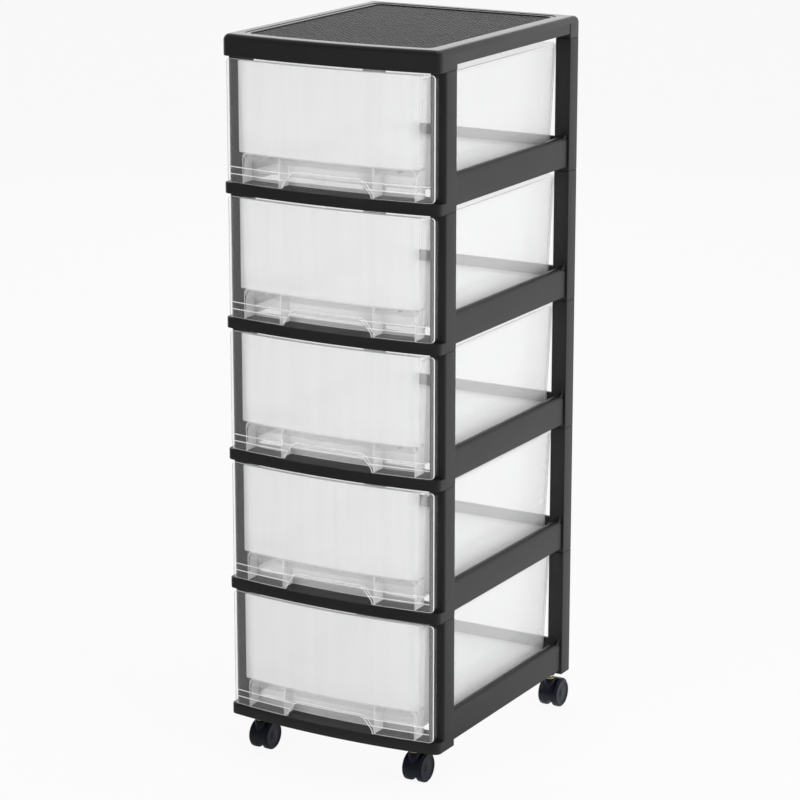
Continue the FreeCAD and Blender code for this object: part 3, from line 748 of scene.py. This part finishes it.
def make_bin(drawer):
    low, high, foot, wall = drawer.bin_floor, drawer.bin_top, drawer.bin_foot, drawer.bin_wall
    front = drawer.setback + drawer.wall / 2
    inner_front = drawer.setback + drawer.wall + 0.8 * MM
    inner_foot, rim, rim_low = foot - wall / 2, drawer.rim, drawer.bin_top - drawer.rim_height
    steps = [(foot - up, low + inwards, front) for inwards, up in quarter(foot, 4)]
    steps += [(0, rim_low, front), (0.2 * MM - rim, rim_low + 0.01 * MM, front),
              (-rim, rim_low + 0.2 * MM, front), (-rim, high - 0.4 * MM, front),
              (0.3 * MM - rim, high, front), (wall, high, inner_front)]
    steps += [(wall + inwards, low + wall + inner_foot - up, inner_front)
              for inwards, up in quarter(inner_foot, 4)]
    return shell("bin", [bin_ring(drawer, level, inset, y) for inset, level, y in steps])


def pull_profile(drawer, inset, low):
    """Side view of the finger pull in (y, z): its top rolls over towards the front."""
    near = drawer.setback + (drawer.wall if inset else drawer.wall / 2)
    outline = rectangle(near, drawer.pull_back - inset, low, drawer.pull_top - inset)
    return rounded_ring(outline, {2: max(2.5 * MM - inset, 0.7 * MM), 3: drawer.pull_roll - inset}, 8)


def make_pull_rooms(drawer):
    """The room behind the front for the fingers, in three bays between the gussets."""
    profile = pull_profile(drawer, drawer.pull_wall, drawer.pull_low - 3 * MM)
    end, gusset, slim = drawer.pull_half - 1.2 * MM, drawer.gusset, drawer.gusset_wall / 2
    return [prism("pull_room", profile, "X", low, high) for low, high in (
        (-end, -gusset - slim), (slim - gusset, gusset - slim), (gusset + slim, end))]


def make_short_ribs(drawer):
    top, low = drawer.pull_top, drawer.pull_top - drawer.short_rib_drop
    near, far = drawer.setback + drawer.wall + 7 * MM, drawer.pull_back - MM
    slim = drawer.gusset_wall / 2
    corners = [(near, low), (far, low), (far, top - MM), (near, top - 1.8 * MM)]
    return pair(prism("short_rib", corners, "X", drawer.short_rib - slim, drawer.short_rib + slim))


def notch_outline(drawer, grow):
    low, foot = drawer.bottom - 4 * MM, drawer.bottom + 3.5 * MM
    crest = drawer.bottom + drawer.notch_height + grow
    mouth, top = drawer.notch_mouth + grow, drawer.notch_crest + grow
    corners = [(-mouth, low), (mouth, low), (mouth, foot), (top, crest), (-top, crest),
               (-mouth, foot)]
    radius, small = drawer.notch_round + grow, 8 * MM - grow
    return rounded_ring(corners, {2: small, 3: radius, 4: radius, 5: small}, 8)


def make_drawer(tower, drawer):
    near, bottom = drawer.setback, drawer.bottom
    pull = prism("pull", pull_profile(drawer, 0, drawer.pull_low), "X",
                 -drawer.pull_half, drawer.pull_half)
    body = take(add(make_bin(drawer), pull), *make_pull_rooms(drawer))
    body = add(body, *make_short_ribs(drawer))
    lip = prism("notch_lip", notch_outline(drawer, NOTCH_WALL), "Y", near + MM,
                near + drawer.notch_lip)
    below = prism("lip_trim", rectangle(-drawer.half, drawer.half, bottom - 10 * MM, bottom), "Y",
                  -MM, 20 * MM)
    body = add(body, make_front(drawer), take(lip, below))
    notch = prism("notch", notch_outline(drawer, 0), "Y", -2 * MM,
                  near + drawer.notch_lip + 0.6 * MM)
    body = take(body, notch)
    bend(tower, drawer, body)
    return body


def bend(tower, drawer, item):
    """Cuts the drawer across its width and bends its front to the bow, fading to the back."""
    bm = bmesh.new()
    bm.from_mesh(item.data)
    cuts = [((across, 0, 0), (1, 0, 0))
            for across in spread(-drawer.half, drawer.half, BOW_STEPS)[1:-1]]
    cuts.append(((0, drawer.setback + drawer.wall, 0), (0, 1, 0)))
    for place, normal in cuts:
        bmesh.ops.bisect_plane(bm, geom=bm.verts[:] + bm.edges[:] + bm.faces[:], plane_co=place,
                               plane_no=normal, dist=0.002 * MM)
    start, finish = drawer.pull_back + 2 * MM, drawer.bin_back - 20 * MM
    for vertex in bm.verts:
        fade = min(max((finish - vertex.co.y) / (finish - start), 0), 1)
        vertex.co.y += sag(tower, vertex.co.x) * fade - tower.depth / 2
    bm.to_mesh(item.data)
    bm.free()


def face_zone(tower, drawer, centre, normal):
    """The zone of a drawer's face, from its centre and its normal."""
    near = drawer.setback
    inwards = centre.y + tower.depth / 2 - sag(tower, centre.x)
    facing, sideways = abs(normal.y) > 0.8, abs(normal.x)
    # The edges zone is painted brighter than the rest of the plastic, a painted highlight
    if inwards < near + drawer.wall + 1.2 * MM:
        return FRONT if facing and inwards > near - 0.1 * MM else HIGHLIGHT_EDGES
    if abs(centre.x) > drawer.pull_half + 12 * MM:
        return FOLDS
    if centre.z > drawer.top - drawer.fold_wall * 1.5:
        return FRONT
    if (inwards < drawer.notch_lip + near + 0.2 * MM
            and centre.z < drawer.bottom + drawer.notch_height + 3 * MM
            and abs(centre.x) < drawer.gusset - drawer.gusset_wall):
        return HIGHLIGHT_EDGES if facing else FRONT
    if inwards < drawer.pull_back + MM and centre.z < drawer.pull_top + 0.2 * MM:
        if sideways < 0.5 and centre.z > drawer.pull_top - 1.2 * MM:
            return HIGHLIGHT_EDGES
        return GUSSETS if sideways > 0.8 or centre.z < drawer.bin_floor - MM else PULL
    if abs(normal.z) > 0.8 and centre.z < drawer.bin_floor + drawer.bin_wall + 1.5 * MM:
        return FLOOR
    return BIN


def zone_drawer(tower, drawer, item):
    """Gives each face the material of its zone, and maps x and z for the front's frosting."""
    mesh = item.data
    layer = mesh.uv_layers.new(name="front_map")
    for polygon in mesh.polygons:
        polygon.material_index = face_zone(tower, drawer, polygon.center, polygon.normal)
        for loop in polygon.loop_indices:
            place = mesh.vertices[mesh.loops[loop].vertex_index].co
            layer.data[loop].uv = (place.x / drawer.half, place.z / drawer.top)


# Casters
def make_hood(caster):
    """Hood with its neck; its zero is the axle and its front faces -Y."""
    room_radius = caster.wheel_radius + caster.wheel_gap
    soft, half, top, neck = caster.hood_round, caster.hood_half, caster.neck_rise, caster.neck_radius
    edges = [(soft - up, inwards - half) for inwards, up in quarter(soft, 3)]
    edges += [(inwards, half - soft + up) for inwards, up in quarter(soft, 3)]
    rings = []
    for inset, across in edges:
        radius = room_radius + caster.hood_wall - inset
        angle = math.asin((caster.hood_drop - inset * 0.3) / radius)
        rings.append([(across, radius * math.cos(a), radius * math.sin(a))
                      for a in spread(-angle, math.pi + angle, 40)])
    centre = (0, -caster.trail, 0)
    hood = add(shell("hood", rings), lathe("neck", [
        (0, 0), (0, neck), (top - MM, neck), (top - 0.3 * MM, neck - 0.4 * MM), (top, neck - MM),
        (top, 0)], "Z", centre, NECK_STEPS))
    rooms = pair(rod("room", room_radius, caster.web / 2, half + 2 * MM, steps=WHEEL_STEPS))
    bore = rod("bore", caster.axle_radius + SLACK, -caster.web, caster.web)
    stem = rod("stem_bore", caster.stem_radius + SLACK, top - 12.3 * MM, top + MM, "Z", centre,
               BORE_STEPS)
    return take(hood, *rooms, bore, stem)


def make_wheels(caster):
    inner = caster.web / 2 + caster.wheel_gap
    outer = inner + caster.wheel_width
    radius, dish = caster.wheel_radius, caster.dish
    half = [
        (0, caster.axle_radius), (inner, caster.axle_radius), (inner, radius - 1.6 * MM),
        (inner + 0.3 * MM, radius - 0.7 * MM), (inner + MM, radius - 0.15 * MM),
        (inner + 2 * MM, radius), (outer - 2.2 * MM, radius), (outer - MM, radius - 0.3 * MM),
        (outer - 0.3 * MM, radius - MM), (outer, radius - 2.2 * MM), (outer, radius - 3.2 * MM),
        (outer - dish * 0.7, radius - 3.9 * MM), (outer - dish, radius - 5 * MM),
        (outer - dish * 0.75, 6 * MM), (outer - dish * 0.4, 5.2 * MM),
        (outer - dish * 0.15, 4.4 * MM), (outer - dish * 0.1, 2.0 * MM), (outer - dish * 0.1, 0),
    ]
    return lathe("wheels", [(-x, r) for x, r in reversed(half)][:-1] + half, steps=WHEEL_STEPS)


def make_stem(caster, low, high):
    collar = caster.neck_rise + caster.wheel_radius + SOFT
    top = collar + caster.collar_height
    radius, wide, chamfer = caster.stem_radius, caster.collar_radius, 0.3 * MM
    return lathe("stem", [
        (low, 0), (low, radius - 2 * chamfer), (low + 2 * chamfer, radius), (collar, radius),
        (collar, wide - chamfer), (collar + chamfer, wide), (top - chamfer, wide),
        (top, wide - chamfer), (top, radius), (high - MM, radius), (high, radius - MM), (high, 0)],
        "Z", steps=NECK_STEPS)


# Nodes
class Value:
    """What a node puts out. Its arithmetic adds Math nodes to the tree."""

    def __init__(self, socket):
        self.socket = socket


SOCKETS = {"Colour": "Color", "Stretch": "Vector", "Knuckle": "Geometry", "Panel": "Geometry",
           "Material": "Material"}
ARITHMETIC = {"add": "ADD", "sub": "SUBTRACT", "mul": "MULTIPLY", "truediv": "DIVIDE"}
for method, operation in ARITHMETIC.items():
    setattr(Value, f"__{method}__", lambda self, other, kind=operation: maths(kind, self, other))
    setattr(Value, f"__r{method}__", lambda self, other, kind=operation: maths(kind, other, self))


def fill(made, inputs):
    """Sets a node's inputs, and links those whose value comes from another node."""
    for key, value in inputs.items():
        if isinstance(value, Value):
            made.id_data.links.new(value.socket, made.inputs[key])
        else:
            made.inputs[key].default_value = value
    return made


def node(tree, kind, inputs=None, **settings):
    made = tree.nodes.new(kind)
    for key, value in settings.items():
        setattr(made, key, value)
    return fill(made, inputs or {})


def out(made, key=0):
    return Value(made.outputs[key])


def maths(operation, *values, clamp=False):
    tree = next(value.socket.id_data for value in values if isinstance(value, Value))
    return out(node(tree, "ShaderNodeMath", dict(enumerate(values)), operation=operation,
                    use_clamp=clamp))


def largest(first, *others):
    for other in others:
        first = maths("MAXIMUM", first, other)
    return first


def scaled(colour, factor):
    return out(node(colour.socket.id_data, "ShaderNodeVectorMath", {0: colour, "Scale": factor},
                    operation="SCALE"))


def split(vector):
    made = node(vector.socket.id_data, "ShaderNodeSeparateXYZ", {0: vector})
    return [out(made, axis) for axis in ("X", "Y", "Z")]


def coordinates(tree, kind):
    return out(node(tree, "ShaderNodeTexCoord"), kind)


def ramp(value, start, finish, low=0.0, high=1.0):
    """A smooth step from low to high while the value goes from start to finish."""
    return out(node(value.socket.id_data, "ShaderNodeMapRange", {
        "Value": value, "From Min": start, "From Max": finish, "To Min": low, "To Max": high},
        interpolation_type="SMOOTHSTEP"), "Result")


def new_group(name, kind, inputs, outputs):
    """A node group with named sockets, what goes into it by name, and its last node."""
    tree = bpy.data.node_groups.new(name, kind)
    for way, labels in (("INPUT", inputs), ("OUTPUT", outputs)):
        for label in labels:
            socket = "NodeSocket" + SOCKETS.get(label, "Float")
            tree.interface.new_socket(label, in_out=way, socket_type=socket)
    entry = {socket.name: Value(socket) for socket in node(tree, "NodeGroupInput").outputs}
    return tree, entry, node(tree, "NodeGroupOutput")


# Materials
@functools.cache
def grain_group():
    """Moulded plastic: mottled colour, uneven gloss and fine spark-eroded grain."""
    tree, entry, leave = new_group(
        "moulded_grain", "ShaderNodeTree",
        ("Colour", "Mottle", "Gloss", "Gloss Spread", "Grain Scale"),
        ("Colour", "Roughness", "Height"))
    place = coordinates(tree, "Object")
    broad = out(node(tree, "ShaderNodeTexNoise", {"Vector": place, "Scale": 14.0, "Detail": 3.0}))
    fine = out(node(tree, "ShaderNodeTexNoise", {"Vector": place, "Scale": entry["Grain Scale"],
                                                 "Detail": 2.0}))
    uneven = (fine - 0.5) * entry["Gloss Spread"]
    fill(leave, {
        "Colour": scaled(entry["Colour"], 1.0 + (broad - 0.5) * entry["Mottle"]),
        "Roughness": maths("ADD", entry["Gloss"], uneven, clamp=True),
        "Height": fine})
    return tree


@functools.cache
def haze_group():
    """Clear plastic: faint flow marks in the haze, its gloss and its opacity."""
    tree, entry, leave = new_group(
        "clear_haze", "ShaderNodeTree", ("Colour", "Opacity", "Streaks", "Gloss", "Stretch"),
        ("Colour", "Opacity", "Roughness", "Height"))
    stretched = node(tree, "ShaderNodeVectorMath", {
        0: coordinates(tree, "Object"), 1: entry["Stretch"]}, operation="MULTIPLY")
    flow = out(node(tree, "ShaderNodeTexNoise", {
        "Vector": out(stretched), "Scale": 1.0, "Detail": 4.0, "Distortion": 0.6}))
    swing = (flow - 0.5) * entry["Streaks"]
    fill(leave, {
        "Colour": scaled(entry["Colour"], 1.0 + swing * 0.4),
        "Opacity": maths("ADD", entry["Opacity"], swing, clamp=True),
        "Roughness": maths("ADD", entry["Gloss"], maths("ABSOLUTE", swing), clamp=True),
        "Height": flow})
    return tree


def new_material(name):
    material = bpy.data.materials.new(name)
    material.use_nodes = True
    return material, material.node_tree, material.node_tree.nodes["Principled BSDF"]


def relief(made, strength, distance):
    bump = node(made.id_data, "ShaderNodeBump", {"Strength": strength, "Distance": distance,
                                                 "Height": out(made, "Height")})
    return out(bump, "Normal")


def plastic(name, colour, roughness, grain=900.0, mottle=0.5, uneven=0.16, bump=0.05, **constants):
    """Opaque moulded plastic, or metal. constants are set on the shader's own sockets."""
    material, tree, shader = new_material(name)
    moulded = node(tree, "ShaderNodeGroup", {
        "Colour": (*colour, 1), "Mottle": mottle, "Gloss": roughness, "Gloss Spread": uneven,
        "Grain Scale": grain}, node_tree=grain_group())
    fill(shader, {"Base Color": out(moulded, "Colour"), "Roughness": out(moulded, "Roughness"),
                  "Normal": relief(moulded, bump, 0.2 * MM)})
    fill(shader, {key.replace("_", " "): value for key, value in constants.items()})
    return material


def clear(name, colour, opacity, gloss, glow, streaks, stretch=(9.0, 9.0, 26.0), zones=None):
    """Clear plastic that is denser the longer the way through it. Its glow is a painted glow: an
    emission in the haze colour that stands in for light scattered through the plastic. zones,
    where given, builds the opacity, the gloss and the streaks."""
    material, tree, shader = new_material(name)
    haze = node(tree, "ShaderNodeGroup", {
        "Colour": (*colour, 1), "Opacity": opacity, "Streaks": streaks, "Gloss": gloss,
        "Stretch": stretch}, node_tree=haze_group())
    if zones:
        fill(haze, zones(tree))
    weight = node(tree, "ShaderNodeLayerWeight", {"Blend": 0.5})
    path = 1.0 / (1.08 - out(weight, "Facing"))
    passed = maths("POWER", 1.0 - out(haze, "Opacity"), path)
    # Painted glow: the emission brightens the plastic by glow, standing in for light scattered
    # through it
    fill(shader, {
        "Base Color": out(haze, "Colour"), "Alpha": maths("SUBTRACT", 1.0, passed, clamp=True),
        "Emission Color": out(haze, "Colour"), "Emission Strength": glow,
        "Roughness": out(haze, "Roughness"), "Normal": relief(haze, 0.02, 0.4 * MM)})
    return material


def front_zones(drawer, finish):
    """Opacity, gloss and streaks over the front. The frosted field lies inside the bin's
    width and above the finger pull; thin lines mark where the pull's walls meet the plate.
    The map's axes run over the drawer's half width and over its height within each tier."""

    def build(tree):
        layer = node(tree, "ShaderNodeUVMap", uv_map="front_map")
        across, up, _ = split(out(layer, "UV"))
        side, level = maths("ABSOLUTE", across) * drawer.half, up * drawer.top
        bin_half, pull_top, half = drawer.bin_half, drawer.pull_top, drawer.half
        inside = ramp(side, bin_half - 1 * MM, bin_half - 2.5 * MM)
        above = ramp(level, pull_top - 1 * MM, pull_top + 1 * MM)
        below = ramp(level, drawer.top - 0.5 * MM, drawer.top - 1.2 * MM)
        field = inside * above * below
        # The frost is thinner towards the bin's sides and just above the pull
        frost_fade = (ramp(side, bin_half - 2 * MM, bin_half - 18 * MM, 0.62, 1.0)
                * ramp(level, pull_top, pull_top + 34 * MM, 0.86, 1.0))
        cover = field * frost_fade * finish.frost_cover
        corner = 7 * MM
        past = largest(side - (drawer.pull_half - corner), 0.0)
        over = largest(level - (pull_top - corner), 0.0)
        away = maths("SQRT", past * past + over * over)
        rim = ramp(maths("ABSOLUTE", away - (corner - 0.6 * MM)), 1.3 * MM, 0.6 * MM)
        web = (ramp(maths("ABSOLUTE", side - drawer.gusset), 1.3 * MM, 0.7 * MM)
               * ramp(level, pull_top, pull_top - 3 * MM))
        line = largest(rim, web) * finish.line_cover
        border = ramp(side, half - 6 * MM, half - 4 * MM) * 0.12
        return {"Opacity": largest(cover, line, border, finish.clear_cover),
                "Gloss": 0.16 + field * 0.26, "Streaks": 0.02 + field * 0.05}

    return build


# Operators
class TOWER_OT_frames(bpy.types.Operator):
    """Build the five stacking tier frames"""

    bl_idname = "tower.frames"
    bl_label = "Tier frames"

    def execute(self, context):
        scene = context.scene
        tower, finish = scene.tower_sizes, scene.tower_finish
        material = plastic("frame_plastic", finish.frame_colour, finish.frame_roughness)
        for numbers in ((1,), range(2, TIERS + 1)):
            master = make_tier(tower, scene.tower_rails, scene.tower_casters, 1 in numbers)
            paint(master, material)
            lay_out(master, "tower_tier_{}", "tower", "tier_frame_{}",
                    tier_places(tower, numbers))
            discard(master)
        return {"FINISHED"}


class TOWER_OT_cover(bpy.types.Operator):
    """Build the cover with its woven panel"""

    bl_idname = "tower.cover"
    bl_label = "Cover"

    def execute(self, context):
        scene = context.scene
        tower, cover, finish = scene.tower_sizes, scene.tower_cover, scene.tower_finish
        colour, roughness = finish.cover_colour, finish.cover_roughness
        master = make_cover(tower, scene.tower_rails, cover)
        paint(master, plastic("cover_plastic", colour, roughness))
        lay_out(master, "tower_cover", "tower", "top_cover",
                tier_places(tower, (TIERS + 1,)))
        discard(master)
        woven = plastic("woven_plastic", colour, roughness * 1.15)
        weave = make_weave(tower, cover, woven)
        paint(weave, woven)
        dress(weave, "tower", 50)
        return {"FINISHED"}


class TOWER_OT_drawers(bpy.types.Operator):
    """Build the five clear drawers"""

    bl_idname = "tower.drawers"
    bl_label = "Drawers"

    def execute(self, context):
        scene = context.scene
        tower, drawer, finish = scene.tower_sizes, scene.tower_drawers, scene.tower_finish
        colour, edges, gussets = finish.clear_colour, (0.95, 0.95, 0.95), (0.93, 0.93, 0.93)
        master = make_drawer(tower, drawer)
        # The fifth value of each clear plastic is its painted glow, standing in for light scattered
        # through the plastic; the bin's floor has the most
        paint(master,
              clear("bin_plastic", colour, finish.bin_cover, 0.22, 0.05, 0.02),
              clear("front_plastic", colour, finish.clear_cover, 0.16, 0.05, 0.03,
                    (70.0, 9.0, 5.0), front_zones(drawer, finish)),
              # Edge faces: denser because the way through them is longer, and painted near white with
              # more glow, a painted highlight along the edges
              clear("edge_highlight_plastic", edges, finish.edge_cover, 0.2, 0.08, 0.04),
              clear("pull_plastic", colour, finish.pull_cover, 0.18, 0.0, 0.05),
              # Gussets: denser than the walls, and painted a shade lighter than the clear plastic,
              # painted light
              clear("gusset_plastic", gussets, finish.gusset_cover, 0.2, 0.05, 0.05),
              clear("floor_plastic", colour, finish.floor_cover, 0.25, 0.12, 0.05),
              clear("fold_plastic", colour, finish.fold_cover, 0.2, 0.0, 0.01))
        zone_drawer(tower, drawer, master)
        lay_out(master, "clear_drawer_{}", "drawer_{}", "drawer_{}",
                tier_places(tower, range(1, TIERS + 1)))
        discard(master)
        return {"FINISHED"}


class TOWER_OT_casters(bpy.types.Operator):
    """Build the four twin-wheel casters"""

    bl_idname = "tower.casters"
    bl_label = "Casters"

    def execute(self, context):
        caster, finish = context.scene.tower_casters, context.scene.tower_finish
        nylon = {"grain": 1400.0, "Specular_Tint": (0.72, 0.84, 1.0, 1.0)}
        hood, wheels = make_hood(caster), make_wheels(caster)
        low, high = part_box("caster_stem_front_left")
        stem = make_stem(caster, low.z, high.z)
        paint(hood, plastic("hood_nylon", finish.caster_colour, 0.34, **nylon))
        paint(wheels, plastic("wheel_nylon", finish.caster_colour, 0.42, **nylon))
        paint(stem, plastic("stem_metal", finish.brass_colour, 0.28, 2400.0, 0.2, 0.2, 0.02,
                            Metallic=1.0))
        for corner, place in stem_places().items():
            stand = {corner: place}
            axle = {corner: place + Vector((0, caster.trail, caster.wheel_radius))}
            lay_out(stem, "stem_{}", "tower", "caster_stem_{}", stand)
            lay_out(hood, "hood_{}", "caster_{}", "caster_hood_{}", axle)
            lay_out(wheels, "twin_wheels_{}", "wheels_{}", "caster_wheels_{}",
                    axle)
        for master in (hood, wheels, stem):
            discard(master)
        return {"FINISHED"}


class TOWER_OT_stage(bpy.types.Operator):
    """Set up the floor, the light and the camera"""

    bl_idname = "tower.stage"
    bl_label = "Stage"

    def execute(self, context):
        scene, settings = context.scene, context.scene.tower_stage
        self.make_floor(settings)
        self.make_world(scene)
        self.make_lights(scene)
        camera = bpy.data.objects.new("camera", bpy.data.cameras.new("camera"))
        scene.collection.objects.link(camera)
        camera.data.sensor_width = SENSOR
        camera.data.lens = settings.focal * SENSOR
        camera.data.clip_end = 100.0
        camera.location = settings.camera_place
        camera.rotation_euler = Euler(
            (math.pi / 2 - settings.camera_pitch, 0, settings.camera_yaw), "XYZ")
        scene.camera = camera
        scene.view_settings.view_transform = "Standard"
        return {"FINISHED"}

    def make_floor(self, settings):
        half = settings.floor_size / 2
        bm = bmesh.new()
        bm.faces.new([bm.verts.new((x, y, 0)) for x, y in rectangle(-half, half, -half, half)])
        floor = new_object("floor", bm)
        material, tree, shader = new_material("floor_paper")
        fill(shader, {"Base Color": (*settings.floor_colour, 1), "Roughness": 0.9,
                      "Specular IOR Level": 0.0})
        rays = node(tree, "ShaderNodeLightPath")
        seen = largest(out(rays, "Is Camera Ray"), out(rays, "Is Transmission Ray"))
        _, y, _ = split(coordinates(tree, "Object"))
        glow = node(tree, "ShaderNodeEmission", {
            "Strength": largest(seen, ramp(y, -0.6, 0.6, DARK_SIDE, 1.0))})
        bright = largest(seen, out(rays, "Is Glossy Ray")) * 0.92
        blend = node(tree, "ShaderNodeMixShader", {0: bright, 1: out(shader), 2: out(glow)})
        fill(tree.nodes["Material Output"], {"Surface": out(blend)})
        paint(floor, material)

    def make_world(self, scene):
        world = bpy.data.worlds.new("studio")
        scene.world = world
        world.use_nodes = True
        tree = world.node_tree
        _, y, z = split(coordinates(tree, "Generated"))
        studio = ramp(y, -0.5, 0.6, DARK_SIDE, 1.0) * ramp(z, 0.30, 0.75, 1.0, 0.4)
        seen = out(node(tree, "ShaderNodeLightPath"), "Is Camera Ray")
        fill(tree.nodes["Background"], {"Color": (1, 1, 1, 1), "Strength": largest(studio, seen)})

    def make_lights(self, scene):
        for name, place, side, power, mirrored in LIGHTS:
            data = bpy.data.lights.new(name, "AREA")
            data.size, data.energy = side, power
            lamp = bpy.data.objects.new(name, data)
            lamp.location = place
            aim = Vector((0, 0, 0.45)) - Vector(place)
            lamp.rotation_euler = aim.to_track_quat("-Z", "Y").to_euler()
            lamp.visible_camera = False
            lamp.visible_glossy = mirrored
            scene.collection.objects.link(lamp)


class TOWER_PT_panel(bpy.types.Panel):
    """Steps that build the drawer tower"""

    bl_idname = "TOWER_PT_panel"
    bl_label = "Drawer tower"
    bl_space_type = "VIEW_3D"
    bl_region_type = "UI"
    bl_category = "Drawer tower"

    def draw(self, context):
        for operator in OPERATORS:
            self.layout.operator(operator.bl_idname, text=operator.bl_label)


OPERATORS = (TOWER_OT_stage, TOWER_OT_frames, TOWER_OT_cover, TOWER_OT_drawers, TOWER_OT_casters)
SETTINGS = {
    "tower_sizes": TowerSizes,
    "tower_rails": RailSizes,
    "tower_cover": CoverSizes,
    "tower_drawers": DrawerSizes,
    "tower_casters": CasterSizes,
    "tower_finish": FinishSettings,
    "tower_stage": StageSettings,
}
CLASSES = (*SETTINGS.values(), *OPERATORS, TOWER_PT_panel)


def register():
    for item in CLASSES:
        bpy.utils.register_class(item)
    for name, group in SETTINGS.items():
        setattr(bpy.types.Scene, name, bpy.props.PointerProperty(type=group))


def unregister():
    for name in SETTINGS:
        delattr(bpy.types.Scene, name)
    for item in reversed(CLASSES):
        bpy.utils.unregister_class(item)


def main():
    register()
    bpy.ops.tower.stage()
    bpy.ops.tower.frames()
    bpy.ops.tower.cover()
    bpy.ops.tower.drawers()
    bpy.ops.tower.casters()


if __name__ == "__main__":
    main()
